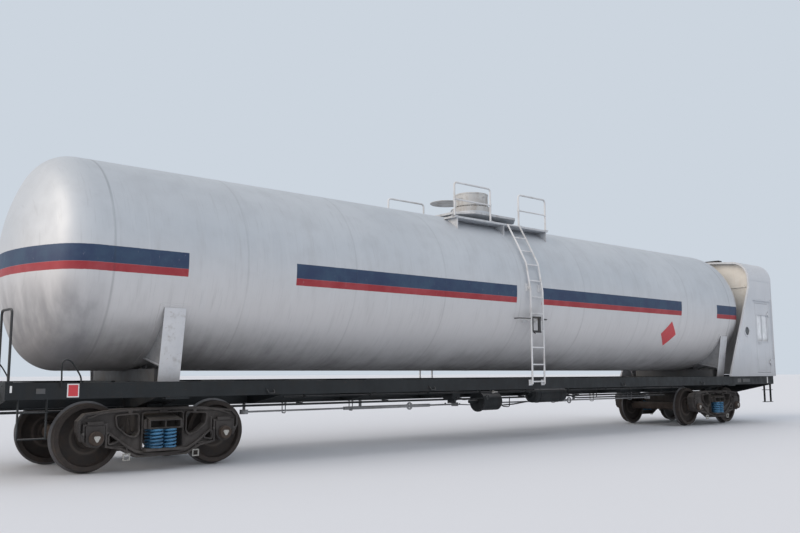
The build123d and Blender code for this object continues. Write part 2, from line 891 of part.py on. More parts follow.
def walkway():
    """Board beside the manway on the +Y side, on brackets that stand on the tank's flank."""
    low = walk_top_z - walk_plate
    deck = block((walk_x0, walk_x1), (walk_inner_y, walk_outer_y), (low, walk_top_z))
    flank_z = tank_z + sqrt(tank_radius**2 - walk_outer_y**2)
    inner_y = walk_inner_y + walk_bracket
    face = poly([
        (inner_y, low), (walk_outer_y, low),
        (walk_outer_y, flank_z - walk_bracket), (inner_y, low - walk_bracket_depth),
    ])
    for x in (walk_x0 + walk_bracket_inset, walk_centre_x, walk_x1 - walk_bracket_inset):
        deck += along(face, *around(x, walk_bracket / 2))
    return largest(deck - tank_room(walk_x0 - 1, walk_x1 + 1))


def walkway_rail(side):
    """Tubular rails on the outer edge of a board, open at the ladder."""
    y = side * post_y
    top = walk_top_z + post_height
    knee = walk_top_z + post_height / 2
    out = []
    for x_end, x_gate in ((walk_x0 + post_end_inset, gate_x0), (walk_x1 - post_end_inset, gate_x1)):
        path = [(x_gate, y, walk_top_z), (x_gate, y, top), (x_end, y, top), (x_end, y, walk_top_z)]
        knee_rail = rod((x_end, y, knee), (x_gate, y, knee), knee_rail_radius)
        out.append(tube_run(path, rail_radius, rail_bend) + knee_rail)
    return out


# Ladders
def stile_path():
    """Middle of a stile on the -Y side: (y, z) up the flank and over to the walkway."""
    reach = tank_radius + ladder_stand_off
    upright_y = max(reach, sill_half_width + ladder_sill_gap)
    points = [(-upright_y, rail + ladder_foot_h), (-upright_y, tank_z)]
    points += [(-reach * cos(radians(a)), tank_z + reach * sin(radians(a))) for a in ladder_kinks]
    return points + [(-walk_outer_y - ladder_bar / 2, walk_top_z - walk_plate / 2)]


def rungs_on(points, first, step):
    """Points at equal steps along a run of straight pieces."""
    out = []
    want = first
    for (ya, za), (yb, zb) in zip(points, points[1:]):
        length = hypot(yb - ya, zb - za)
        while want < length:
            out.append((ya + (yb - ya) * want / length, za + (zb - za) * want / length))
            want += step
        want -= length
    return out


def side_ladder():
    """Ladder on the -Y side with its brackets to the sill and the tank."""
    path = stile_path()
    half = (ladder_width - ladder_bar) / 2
    y = path[0][0]
    body = None
    for s in (-1, 1):
        x = ladder_x + s * half
        stile = tube_run([(x, a, b) for a, b in path], ladder_bar / 2, ladder_bend)
        body = stile if body is None else body + stile
        plate_x = around(x, ladder_bracket_plate / 2)
        low = side_top_z - 2 * ladder_bracket
        body += block(plate_x, (y, -sill_half_width), (low, low + ladder_bracket))
        for rise in ladder_bracket_rises:
            flank = sqrt(tank_radius**2 - rise**2)
            body += block(plate_x, (y, -flank + ladder_bracket), around(tank_z + rise, ladder_bracket / 2))
    body -= tank_room(ladder_x - ladder_width, ladder_x + ladder_width)
    for a, b in rungs_on(path, first_rung, rung_step):
        body += rod((ladder_x - half, a, b), (ladder_x + half, a, b), rung_radius)
    return largest(body)


# Ends
def corner_steps():
    """Hanging steps under the side sill near the (+X, +Y) corner."""
    x1 = frame_half - step_inset
    x0 = x1 - step_width
    y = sill_half_width - step_hanger_half
    foot = side_bottom_z - step_drops[-1]
    body = None
    for x in (x0, x1):
        leg = block(around(x, step_plate / 2), around(y, step_hanger_half), (foot, side_bottom_z))
        body = leg if body is None else body + leg
    for drop in step_drops:
        tread_z = (side_bottom_z - drop, side_bottom_z - drop + step_plate)
        body += block((x0, x1), around(y, step_tread_half), tread_z)
    return body


def end_handrail():
    """Hoop on the deck at the (-X, +Y) corner."""
    x = handrail_inset - frame_half
    y0 = sill_half_width - handrail_outer
    y1 = y0 - handrail_width
    foot = side_top_z + deck_plate
    top = side_top_z + handrail_rise
    return tube_run([(x, y0, foot), (x, y0, top), (x, y1, top), (x, y1, foot)], handrail_radius, rail_bend)


def hand_brake():
    """Brake column at the -X end with its wheel."""
    x, y = -frame_half - brake_column_out, brake_wheel_y
    foot, top = rail + brake_column_foot_h, rail + brake_column_top_h
    body = drum(x, y, foot, brake_column_radius, top - foot)
    spokes = Rot(0, 90, 0) * Cylinder(brake_wheel_rim * 0.7, 2 * brake_wheel_radius)
    spokes += Rot(90, 0, 0) * Cylinder(brake_wheel_rim * 0.7, 2 * brake_wheel_radius)
    body += Pos(x, y, top) * (Torus(brake_wheel_radius, brake_wheel_rim) + spokes)
    middle = (foot + side_top_z) / 2
    bracket_x = (x - brake_bracket_half, -frame_half)
    return body + block(bracket_x, around(y, brake_bracket_half), around(middle, brake_bracket_height / 2))


# Brake gear under the frame
def hanger(x, y, z):
    """Plate from the side of the centre sill out over a hung cylinder, and down to it."""
    under = centre_top_z - centre_cover
    face = poly([
        (-web_out, centre_low_z), (-web_out, under), (y, centre_low_z + hanger_rise),
        (y - hanger_half, centre_low_z + hanger_rise), (y - hanger_half, z),
        (y + hanger_half, z), (y + hanger_half, centre_low_z),
    ])
    return along(face, *around(x, hanger_plate / 2))


def brake_cylinder():
    x, y, z = cylinder_x, cylinder_y, rail + cylinder_h
    end = x - cylinder_length / 2
    body = lying_x(x, y, z, cylinder_radius, cylinder_length)
    body += lying_x(end, y, z, cylinder_radius + cylinder_flange, cylinder_flange_length)
    body += lying_x(end - push_rod_length / 2, y, z, push_rod_radius, push_rod_length)
    for s in (-1, 1):
        body += hanger(x + s * cylinder_length * 0.3, y, z + cylinder_radius * 0.8)
    return body


def air_reservoir():
    x, y, z = reservoir_x, reservoir_y, rail + reservoir_h
    half = reservoir_length / 2
    # half section from the axis out and along: (x, radius)
    half_section = [
        (half, 0), (half, reservoir_radius * 0.5),
        (half - reservoir_dish, reservoir_radius - reservoir_dish / 4),
        (half - 2 * reservoir_dish, reservoir_radius),
    ]
    section = half_section + [(-a, b) for a, b in reversed(half_section)]
    body = Pos(x, y, z) * revolve(Plane.XZ * poly(section), Axis.X, 360)
    for s in (-1, 1):
        body += hanger(x + s * reservoir_length * 0.3, y, z + reservoir_radius * 0.8)
    return body


def control_valve():
    """Valve body on a bracket from the centre sill."""
    z = centre_low_z + hanger_rise / 2
    body = lying_y(valve_x, valve_y, z, valve_radius, valve_length)
    body += drum(valve_x, valve_y, z - 1.5 * valve_radius, valve_radius * 0.7, 1.5 * valve_radius)
    arm_y = (valve_y, -web_out)
    return body + block(around(valve_x, lever_half), arm_y, (z, z + valve_radius / 2))


def brake_pipe():
    """Pipe under the centre sill's flange on the -Y side, in clips."""
    reach = frame_inner - pipe_end_inset
    z = centre_bottom_z - pipe_clip_plate - pipe_radius
    body = rod((-reach, pipe_y, z), (reach, pipe_y, z), pipe_radius)
    clip_y = (pipe_y - pipe_radius, -flange_out + pipe_clip)
    clip_z = (z + pipe_radius * 0.7, centre_bottom_z)
    pitch = bogie_centres / (bearer_count + 1)
    for i in range(bearer_count + 1):
        x = (i - bearer_count / 2) * pitch
        body += block(around(x, pipe_clip / 2), clip_y, clip_z)
    return body


def brake_rods():
    """Pull rods to both bogies with their levers at the brake cylinder, hung from the centre sill."""
    z = rail + rod_h
    head_x = cylinder_x - cylinder_length / 2 - push_rod_length
    tail_x = cylinder_x + cylinder_length / 2 + 2 * lever_half
    end_x = bogie_centres / 2 - rod_pivot_reach
    flat = around(z, lever_thickness / 2)
    out = []
    # side of the car, inner end of the rod, length of the slack adjuster on it
    for s, inner_x, adjuster in ((-1, head_x, adjuster_length), (1, tail_x, 0)):
        body = rod((inner_x, rod_y, z), (s * end_x, rod_y, z), rod_radius)
        if adjuster:
            start = inner_x + s * adjuster / 3
            body += rod((start, rod_y, z), (start + s * adjuster, rod_y, z), adjuster_radius)
        for x in (inner_x, s * end_x):
            body += drum(x, rod_y, z - lever_half, 2 * lever_half, 2 * lever_half)
        left, right = around(inner_x, lever_half)
        tip = (inner_x, cylinder_y - lever_half)
        lever = poly([(left, rod_y), (left, cylinder_y), tip, (right, cylinder_y), (right, rod_y)])
        body += upright(lever, *flat)
        for x in (inner_x, (inner_x + s * end_x) / 2, s * end_x):
            strap = block(around(x, hanger_plate / 2), around(rod_y, rod_hanger_half), (z, centre_bottom_z))
            body += strap
        out.append(body)
    return out


# Couplers, drawn for the +X end
face_x = frame_half + coupler_reach
pin_x = face_x - knuckle_inset
swing_x = frame_half - swing_inset


def coupler():
    """Shank and head with an open jaw, bored for the knuckle's pin."""
    z = coupler_z
    back = face_x - 4 * shank_half
    neck = back - 96
    shank = block((swing_x - tail_reach, back - shank_half), around(0, shank_half), around(z, shank_half))
    # plan of the head, from the shank round the guard arm: (x, y)
    plan = poly([
        (neck, -shank_half), (back - 16, -150), (face_x - 60, -190), (face_x - 60, -60), (face_x - 150, -20),
        (face_x - 150, 60), (face_x - 60, 110), (face_x + 60, 205), (face_x + 40, 245),
        (face_x - 120, 235), (back - 16, 150), (neck, shank_half),
    ])
    head = upright(plan, z - head_half_height, z + head_half_height)
    pocket = block((pin_x - 90, face_x + 80), (-260, 20), around(z, head_half_height - jaw_wall))
    body = shank + head - pocket + Pos(swing_x, 0, z) * Cylinder(swing_pin_radius, swing_pin_length)
    return body - Pos(pin_x, knuckle_pin_y, z) * Cylinder(knuckle_pin_radius + pin_play, 3 * head_half_height)


def knuckle():
    """Swinging jaw with its pin."""
    y = knuckle_pin_y
    half = head_half_height - jaw_wall - running_gap
    span = (coupler_z - half, coupler_z + half)
    nose = poly([
        (pin_x - 20, y - 60), (face_x - 10, y - 60), (face_x + 55, y - 10), (face_x + 62, y + 90),
        (face_x + 30, y + 135), (face_x - 20, y + 130), (face_x - 18, y + 60), (pin_x + 20, y + 55),
    ])
    body = Pos(pin_x, y, coupler_z) * Cylinder(knuckle_hub, 2 * half) + upright(nose, *span)
    pin_length = 2 * (head_half_height + knuckle_pin_radius)
    return body + Pos(pin_x, y, coupler_z) * Cylinder(knuckle_pin_radius, pin_length)


def draft_gear():
    """Draft gear in the centre sill, with the yoke that holds the shank's tail."""
    back = swing_x - tail_reach - 3 * running_gap
    high = around(coupler_z, draft_gear_half_height)
    body = block((back - draft_gear_length, back), around(0, centre_gap / 2), high)
    for s in (-1, 1):
        cheek_z = around(coupler_z + s * yoke_rise, yoke_thickness / 2)
        body += block((back - 1, swing_x + 2 * swing_pin_radius), around(0, yoke_half), cheek_z)
    return body - Pos(swing_x, 0, coupler_z) * Cylinder(swing_pin_radius + pin_play, 2 * swing_pin_length)


# Cabin
cabin_front_x = frame_half - cabin_length
bulkhead_x = cabin_front_x + bulkhead_inset
eaves_z = side_top_z + cabin_wall_height
floor_top_z = side_top_z + cabin_floor_plate
inner_half = cabin_half_width - cabin_wall
door_x1 = frame_half - door_inset
door_x0 = door_x1 - door_width
door_z0 = side_top_z + door_foot_rise
door_z1 = door_z0 + door_height
hinge_x = door_x1 + hinge_offset
hinge_y = cabin_half_width + hinge_radius + 2
hinge_zs = [door_z0 + hinge_inset, door_z1 - hinge_inset]
window_z = (door_z0 + window_sill_rise, door_z0 + window_sill_rise + window_height)
window_x = (door_x0 + window_margin, door_x1 - window_margin)
end_window_z = (side_top_z + end_window_rise, side_top_z + end_window_rise + end_window_height)


def cabin_section(inset=0.0):
    """Cross-section of the cabin: upright sides, rounded eaves, low crown."""
    w = cabin_half_width
    shoulder = (w - shoulder_inset, eaves_z + shoulder_rise)
    middle = (w - shoulder_mid_inset, eaves_z + shoulder_mid_rise)
    outline = make_face([
        Line((-w, side_top_z), (w, side_top_z)),
        Line((w, side_top_z), (w, eaves_z)),
        ThreePointArc((w, eaves_z), middle, shoulder),
        ThreePointArc(shoulder, (0, shoulder[1] + crown_rise), (-shoulder[0], shoulder[1])),
        ThreePointArc((-shoulder[0], shoulder[1]), (-middle[0], middle[1]), (-w, eaves_z)),
        Line((-w, eaves_z), (-w, side_top_z)),
    ])
    return offset(outline, -inset) if inset else outline


def above(z):
    """Everything of the cabin above a height."""
    wide = around(0, 2 * cabin_half_width)
    return block((cabin_front_x - 1, frame_half + 1), wide, (z, z + 2 * cabin_half_width))


def cabin_floor():
    return block((bulkhead_x, frame_half), around(0, inner_half), (side_top_z, floor_top_z))


def cabin_roof():
    """Skin above the eaves."""
    skin = cabin_section() - cabin_section(cabin_wall)
    return along(skin, cabin_front_x, frame_half) & above(eaves_z)


def cross_wall(x0):
    """Wall across the cabin, on its floor and under its roof."""
    return along(cabin_section(cabin_wall + seat_gap), x0, x0 + cabin_wall) & above(floor_top_z)


def cabin_end_wall():
    x0 = frame_half - cabin_wall
    return cross_wall(x0) - block((x0 - 1, frame_half + 1), around(0, end_window_half), end_window_z)


def cabin_side():
    """Side wall of the +Y side with its sloping skirt, porthole, door opening and hinges."""
    skirt_x = frame_half - skirt_reach
    face = poly([
        (skirt_x, side_top_z), (frame_half, side_top_z), (frame_half, eaves_z),
        (cabin_front_x, eaves_z), (cabin_front_x, eaves_z - skirt_top_drop),
    ])
    bend = [v for v in face.vertices() if abs(v.X - cabin_front_x) < 1 and v.Y < eaves_z - 1]
    body = across(fillet(bend, skirt_bend), inner_half, cabin_half_width)
    porthole_x = frame_half - porthole_x_inset
    body -= lying_y(porthole_x, cabin_half_width, side_top_z + porthole_rise, porthole_radius, 4 * cabin_wall)
    opening_x = (door_x0 - door_gap, door_x1 + door_gap)
    body -= block(opening_x, around(cabin_half_width, 2 * cabin_wall), (door_z0 - door_gap, door_z1 + door_gap))
    leaf_y = (cabin_half_width - 1, hinge_y + hinge_leaf_thickness)
    for z in hinge_zs:
        body += Pos(hinge_x, hinge_y, z) * Cylinder(hinge_pin_radius, 2 * hinge_knuckle + 14)
        for s in (-1, 1):
            middle = z + s * (hinge_knuckle * 0.75 + 4)
            half = hinge_knuckle / 4 + 2
            body += Pos(hinge_x, hinge_y, middle) * Cylinder(hinge_radius, 2 * half)
            body += block((hinge_x, door_x1 + door_gap + hinge_leaf), leaf_y, around(middle, half))
    return body


def cabin_door():
    """Door of the +Y side with its window opening, hinge leaves and grab handle."""
    wall = (inner_half, cabin_half_width)
    body = block((door_x0, door_x1), wall, (door_z0, door_z1))
    body -= block(window_x, around(cabin_half_width, 2 * cabin_wall), window_z)
    leaf_y = (cabin_half_width - 4, hinge_y + hinge_leaf_thickness)
    for z in hinge_zs:
        body += block((door_x1 - hinge_leaf, hinge_x), leaf_y, around(z, hinge_knuckle / 2))
        body += Pos(hinge_x, hinge_y, z) * Cylinder(hinge_radius, hinge_knuckle)
        body -= Pos(hinge_x, hinge_y, z) * Cylinder(hinge_pin_radius + pin_play, 2 * hinge_knuckle)
    grip_x = (door_x0 + window_margin, door_x0 + window_margin + handle_length)
    grip_z = around(door_z0 + handle_rise, handle_bar / 2)
    face = cabin_half_width
    body += block(grip_x, (face + handle_out - handle_bar, face + handle_out), grip_z)
    for x in (grip_x[0], grip_x[1] - handle_bar):
        body += block((x, x + handle_bar), (face - 1, face + handle_out), grip_z)
    return body


def door_pane():
    return block(window_x, around(cabin_half_width - cabin_wall / 2, pane_thickness / 2), window_z)


def cabin_pane():
    x = around(frame_half - cabin_wall / 2, pane_thickness / 2)
    return block(x, around(0, end_window_half), end_window_z)


# Write the car's nodes
node("tank_shell", tank())
node("saddle_bases", *[saddle_base(x) for x in pivots.values()])
node("saddle_legs", *[both_sides(saddle_leg(x)) for x in pivots.values()])
node("centre_sill", centre_sill())
node("side_sills", side_sill(-1), side_sill(1))
node("end_sills", end_sill(), mirror_x(end_sill()))
node("body_bolsters", *[body_bolster(x) for x in pivots.values()])
bearer_pitch = bogie_centres / (bearer_count + 1)
bearer_xs = [(i - (bearer_count - 1) / 2) * bearer_pitch for i in range(bearer_count)]
node("cross_bearers", *[cross_bearer(x) for x in bearer_xs])
node("end_deck", end_deck())
node("draft_gears", draft_gear(), mirror_x(draft_gear()))
node("manway_neck", manway_neck())
node("manway_cover", manway_cover())
node("guard_cylinder", guard())
node("guard_lid", guard_lid())
node("manway_valves", valves())
node("neck_tray", neck_tray())
node("walkway_boards", both_sides(walkway()))
node("walkway_rails", walkway_rail(-1), walkway_rail(1))
node("side_ladders", both_sides(side_ladder()))
steps = both_sides(corner_steps())
node("corner_steps", steps, [mirror_x(one) for one in steps])
node("end_handrails", both_sides(end_handrail()))
node("hand_brake", hand_brake())
node("brake_cylinder", brake_cylinder())
node("air_reservoir", air_reservoir())
node("control_valve", control_valve())
node("brake_pipe", brake_pipe())
node("brake_rods", brake_rods())
node("cabin_floor", cabin_floor())
node("cabin_bulkhead", cross_wall(bulkhead_x))
node("cabin_end_wall", cabin_end_wall())
node("cabin_roof", cabin_roof())
node("cabin_panes", cabin_pane())
for name, turned in (("near", mirror_y), ("far", lambda shape: shape)):
    node(f"cabin_side_{name}", turned(cabin_side()))
    node(f"cabin_door_{name}", turned(cabin_door()))
    node(f"door_pane_{name}", turned(door_pane()))
for end, turn in (("b", Rot(0, 0, 0)), ("a", Rot(0, 0, 180))):
    node(f"coupler_{end}", turn * coupler())
    node(f"knuckle_{end}", turn * knuckle())

# Write the bogies' nodes
frames = both_sides(side_frame())
bolster_one = bogie_bolster()
springs = spring_group(-1) + spring_group(1)
bearings = [bearing(s * half_base, side * side_y) for s in (-1, 1) for side in (-1, 1)]
beams = [brake_beam(-1), brake_beam(1)]
axle_one = axle()
wheel_pair = both_sides(wheel())
for name, x in pivots.items():
    place = Pos(x, 0, 0)
    node(f"bogie_{name}_side_frames", *[place * one for one in frames])
    node(f"bogie_{name}_bolster", place * bolster_one)
    node(f"bogie_{name}_springs", *[place * one for one in springs])
    node(f"bogie_{name}_bearings", *[place * one for one in bearings])
    node(f"bogie_{name}_brake_beams", *[place * one for one in beams])
    for number, s in (("1", -1), ("2", 1)):
        centre = Pos(x + s * half_base, 0, axle_z)
        node(f"axle_{name}{number}", centre * axle_one)
        node(f"wheels_{name}{number}", *[centre * one for one in wheel_pair])
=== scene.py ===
import json
from itertools import product
from math import cos, hypot, pi, radians, sin, sqrt

import bmesh
import bpy
from mathutils import Matrix, Vector


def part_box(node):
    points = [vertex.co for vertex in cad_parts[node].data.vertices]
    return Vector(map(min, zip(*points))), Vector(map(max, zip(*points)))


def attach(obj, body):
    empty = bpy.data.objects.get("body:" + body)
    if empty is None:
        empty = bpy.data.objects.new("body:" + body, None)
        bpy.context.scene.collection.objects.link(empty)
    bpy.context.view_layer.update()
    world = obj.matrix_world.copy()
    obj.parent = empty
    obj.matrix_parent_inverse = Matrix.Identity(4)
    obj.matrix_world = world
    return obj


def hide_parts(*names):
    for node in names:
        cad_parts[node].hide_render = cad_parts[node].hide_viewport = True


# Looks of a railway tank car. Metres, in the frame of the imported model:
# X along the car, Y across it, Z up from the lowest point of the wheel flanges.
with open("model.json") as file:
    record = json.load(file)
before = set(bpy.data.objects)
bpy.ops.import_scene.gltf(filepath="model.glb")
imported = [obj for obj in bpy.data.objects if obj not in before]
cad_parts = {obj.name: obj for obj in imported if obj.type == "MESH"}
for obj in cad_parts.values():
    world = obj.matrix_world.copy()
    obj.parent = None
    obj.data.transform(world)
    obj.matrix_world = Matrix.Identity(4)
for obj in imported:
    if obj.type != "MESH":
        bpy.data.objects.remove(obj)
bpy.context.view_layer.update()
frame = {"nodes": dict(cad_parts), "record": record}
nodes = frame["nodes"]
slot_of = {row["node"]: row["material_slot"] for row in frame["record"]["subparts"]}

X, Y, Z = (1, 0, 0), (0, 1, 0), (0, 0, 1)
NEAR, DOWN = (0, -1, 0), (0, 0, -1)

# Measures of the tank, the underframe and the doors' panes, most of them taken from their nodes
tank_low, tank_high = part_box("tank_shell")
tank_r = (tank_high[1] - tank_low[1]) / 2
tank_z = (tank_low[2] + tank_high[2]) / 2
head_depth = 0.715
barrel_x0 = tank_low[0] + head_depth
barrel_x1 = tank_high[0] - head_depth
seam_x0, seam_x1 = -7.82, barrel_x1 - 0.2
seam_count = 8
sill_y, sill_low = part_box("side_sills")[0][1:]
sill_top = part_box("side_sills")[1][2]
sill_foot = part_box("centre_sill")[0][2]
end_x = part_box("cabin_end_wall")[1][0]
pane_low, pane_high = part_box("door_pane_near")
bogie_x = {"a": -6.95, "b": 6.95}
half_base = 0.875
axle_z = 0.447

# Stripes round the tank: heights, and the stretches of X where they run
navy_z = (2.577, 2.787)
red_z = (2.477, 2.577)
stripe_runs = [(-9.0, -6.84), (-5.18, -0.49), (0.19, 4.95), (6.46, 9.0)]


# Colour and material helpers
def srgb(red, green, blue):
    """Linear colour of a display colour from 0 to 255."""
    def linear(value):
        value /= 255
        return value / 12.92 if value <= 0.04045 else ((value + 0.055) / 1.055) ** 2.4

    return (linear(red), linear(green), linear(blue), 1)


class Paint:
    """One procedural material, its colour laid in coats by noises and masks in object coordinates."""

    def __init__(self, name):
        self.material = bpy.data.materials.new(name)
        self.material.use_nodes = True
        self.tree = self.material.node_tree
        self.shader = self.tree.nodes["Principled BSDF"]
        self.where = self.add("ShaderNodeTexCoord").outputs["Object"]
        self.x, self.y, self.z = self.parts(self.where)
        facing_x, _, self.up = self.parts(self.add("ShaderNodeNewGeometry").outputs["Normal"])
        self.end_on = self.math("ABSOLUTE", facing_x)

    def add(self, kind, **settings):
        made = self.tree.nodes.new(kind)
        for key, value in settings.items():
            setattr(made, key, value)
        return made

    def set(self, socket, value):
        if isinstance(value, bpy.types.NodeSocket):
            self.tree.links.new(value, socket)
        else:
            socket.default_value = value

    def parts(self, vector):
        split = self.add("ShaderNodeSeparateXYZ")
        self.set(split.inputs[0], vector)
        return split.outputs

    def noise(self, size, detail=4, rough=0.55, stretch=(1, 1, 1)):
        """Noise from 0 to 1; size is in metres, and a larger stretch gives longer marks that way."""
        mapping = self.add("ShaderNodeMapping")
        self.set(mapping.inputs["Vector"], self.where)
        self.set(mapping.inputs["Scale"], [1 / (size * s) for s in stretch])
        made = self.add("ShaderNodeTexNoise")
        self.set(made.inputs["Vector"], mapping.outputs[0])
        self.set(made.inputs["Scale"], 1.0)
        self.set(made.inputs["Detail"], detail)
        self.set(made.inputs["Roughness"], rough)
        return made.outputs[0]

    def fade(self, value, start, end, low=0.0, high=1.0):
        """low at start, high at end, smooth between and level outside."""
        made = self.add("ShaderNodeMapRange", interpolation_type="SMOOTHSTEP")
        for socket, number in zip(made.inputs, (value, start, end, low, high)):
            self.set(socket, number)
        return made.outputs[0]

    def math(self, kind, value, *others):
        """One operation on a value alone, or on it and each of the others in turn."""
        for other in others or (0.0,):
            made = self.add("ShaderNodeMath", operation=kind)
            self.set(made.inputs[0], value)
            self.set(made.inputs[1], other)
            value = made.outputs[0]
        return value

    def plus(self, *values):
        return self.math("ADD", *values)

    def times(self, *values):
        return self.math("MULTIPLY", *values)

    def most(self, *values):
        return self.math("MAXIMUM", *values)

    def band(self, value, low, high, soft):
        """1 between low and high, with soft edges."""
        rise = self.fade(value, low - soft, low + soft)
        return self.times(rise, self.fade(value, high - soft, high + soft, 1.0, 0.0))

    def mix(self, amount, *tones):
        """Blend of two tones, each a display colour from 0 to 255 or a socket."""
        made = self.add("ShaderNodeMix", data_type="RGBA")
        self.set(made.inputs[0], amount)
        for socket, tone in zip(made.inputs[6:8], tones):
            self.set(socket, srgb(*tone) if isinstance(tone, tuple) else tone)
        return made.outputs[2]

    def coat(self, amount, tone):
        """Lays a tone over the colour so far."""
        self.colour = self.mix(amount, self.colour, tone)

    def finish(self, roughness, bumps, metallic=0.0, specular=0.5, soft_edge=0.0):
        """Joins colour, roughness and bumps: (height, depth in metres) pairs."""
        normal = None
        if soft_edge:
            edge = self.add("ShaderNodeBevel", samples=3)
            self.set(edge.inputs["Radius"], soft_edge)
            normal = edge.outputs[0]
        for height, depth in bumps:
            made = self.add("ShaderNodeBump")
            self.set(made.inputs["Distance"], depth)
            self.set(made.inputs["Height"], height)
            if normal is not None:
                self.set(made.inputs["Normal"], normal)
            normal = made.outputs[0]
        for key, value in (
            ("Base Color", self.colour), ("Roughness", roughness), ("Metallic", metallic),
            ("Specular IOR Level", specular), ("Normal", normal),
        ):
            self.set(self.shader.inputs[key], value)
        return self.material


def weathered(name, clean, dull, dirt, soiled, dust=None, dusty=0.0, rust=0.0,
              roughness=(0.45, 0.7), grain=0.0006, metallic=0.0, soft_edge=0.0):
    """Paint or casting with broad fading, dirt in patches, dust on top and specks of rust."""
    p = Paint(name)
    broad = p.noise(0.55, 5)
    patch = p.noise(0.16, 6, 0.65, (1, 1, 1.6))
    fine = p.noise(0.012, 5, 0.7)
    p.colour = p.mix(p.fade(broad, 0.35, 0.68), clean, dull)
    p.coat(p.times(p.fade(patch, 0.46, 0.72), soiled), dirt)
    if rust:
        speck = p.fade(p.noise(0.03, 6, 0.7), 0.62, 0.70)
        p.coat(p.times(speck, p.fade(broad, 0.4, 0.6), rust), (104, 66, 44))
    if dust:
        p.coat(p.times(p.fade(p.up, 0.25, 0.9), p.fade(fine, 0.25, 0.7, 0.45, 1.0), dusty), dust)
    p.coat(p.fade(fine, 0.3, 0.7, 0.0, 0.16), dirt)
    rough = p.fade(patch, 0.3, 0.7, *roughness)
    return p.finish(rough, [(fine, grain), (patch, grain * 4)], metallic, 0.4, soft_edge)


def tank_paint():
    """Aluminium paint with its stripes, streaks down the flanks, a painted reflection of the ground low on
    the flanks, a soiled belly with painted shade and a painted warm highlight high on the end at +X.
    """
    p = Paint("tank_aluminium_paint")
    broad = p.noise(1.7, 5, stretch=(1.6, 1, 1))
    cloud = p.noise(0.35, 6, 0.6)
    streak = p.noise(0.11, 6, 0.6, (1, 9, 9))
    hairline = p.noise(0.022, 4, 0.6, (1, 22, 22))
    fine = p.noise(0.006)
    flank = p.fade(p.z, tank_z + 1.2, tank_z + 0.1)
    p.colour = p.mix(p.fade(broad, 0.3, 0.7), (180, 186, 193), (190, 195, 201))
    p.coat(p.fade(cloud, 0.42, 0.75, 0.0, 0.3), (168, 172, 178))
    # paler and warmer down the lower flanks: a painted reflection of the pale ground below
    p.coat(p.fade(p.z, tank_z + 0.5, tank_z - 0.7, 0.0, 0.75), (208, 206, 206))
    p.coat(p.times(flank, p.fade(streak, 0.5, 0.78, 0.0, 0.22)), (152, 152, 154))
    p.coat(p.times(flank, p.fade(streak, 0.46, 0.26, 0.0, 0.22)), (206, 209, 213))
    p.coat(p.fade(hairline, 0.56, 0.7, 0.0, 0.16), (140, 142, 146))
    # stripes, a little uneven along their edges and worn through here and there
    height = p.plus(p.z, p.times(p.noise(0.05, 3), 0.006))
    run = p.most(*[p.band(p.x, start, end, 0.004) for start, end in stripe_runs])
    run = p.times(run, p.fade(p.noise(0.04, 6, 0.75, (1, 4, 4)), 0.60, 0.78, 1.0, 0.62))
    faded = p.fade(cloud, 0.35, 0.7)
    p.coat(p.times(run, p.band(height, *navy_z, 0.003)), p.mix(faded, (43, 58, 88), (56, 77, 101)))
    p.coat(p.times(run, p.band(height, *red_z, 0.003)), p.mix(faded, (148, 45, 53), (162, 68, 74)))
    # dirt along the weld seams, most at the heads
    pitch = (seam_x1 - seam_x0) / seam_count
    distance = p.math("PINGPONG", p.plus(p.x, -seam_x0), pitch / 2)
    off_middle = p.math("ABSOLUTE", p.plus(p.x, -(seam_x0 + seam_x1) / 2))
    at_head = p.fade(off_middle, 3.5 * pitch, 3.6 * pitch, 0.2, 0.5)
    seam = p.times(p.fade(distance, 0.003, 0.026, 1.0, 0.0), at_head, p.fade(streak, 0.3, 0.6, 0.45, 1.0))
    p.coat(seam, p.mix(0.55, p.colour, (48, 52, 60)))
    # soil thrown up on the belly, darkened further as painted shade under the tank, heaviest towards the -X
    # end
    low = p.plus(p.z, p.times(p.plus(streak, cloud), 0.32), p.fade(p.x, -7.5, -3.0, 0.0, 0.24))
    # darker towards the bottom: soil together with painted shade under the tank
    soil_and_shade = p.fade(low, 1.62, 2.42, 1.0, 0.0)
    p.coat(p.times(soil_and_shade, 0.86), p.mix(cloud, (84, 82, 82), (122, 119, 117)))
    # grey smudges low on the ends, and a warm stain high on the end at +X that is partly a painted warm
    # highlight
    ends = [p.fade(p.x, x - s * 0.25, x + s * 0.1) for x, s in ((barrel_x0, -1), (barrel_x1, 1))]
    smudge = p.fade(p.noise(0.28, stretch=(1, 1, 4)), 0.3, 0.7, 0.25, 0.75)
    p.coat(p.times(p.most(*ends), p.fade(p.z, 2.6, 2.0), smudge), (126, 126, 130))
    # warm patch high on the +X end: a stain and a painted warm highlight
    stain_and_highlight = p.times(p.fade(p.x, barrel_x1 + 0.02, barrel_x1 + 0.2), p.fade(streak, 0.4, 0.62, 0.35, 0.8))
    p.coat(p.times(stain_and_highlight, p.fade(p.z, 2.9, 3.6)), (214, 204, 190))
    rough = p.plus(p.fade(cloud, 0.3, 0.7, 0.45, 0.56), p.times(soil_and_shade, 0.25))
    return p.finish(rough, [(fine, 0.0004), (streak, 0.0010), (broad, 0.004)], 0.30)


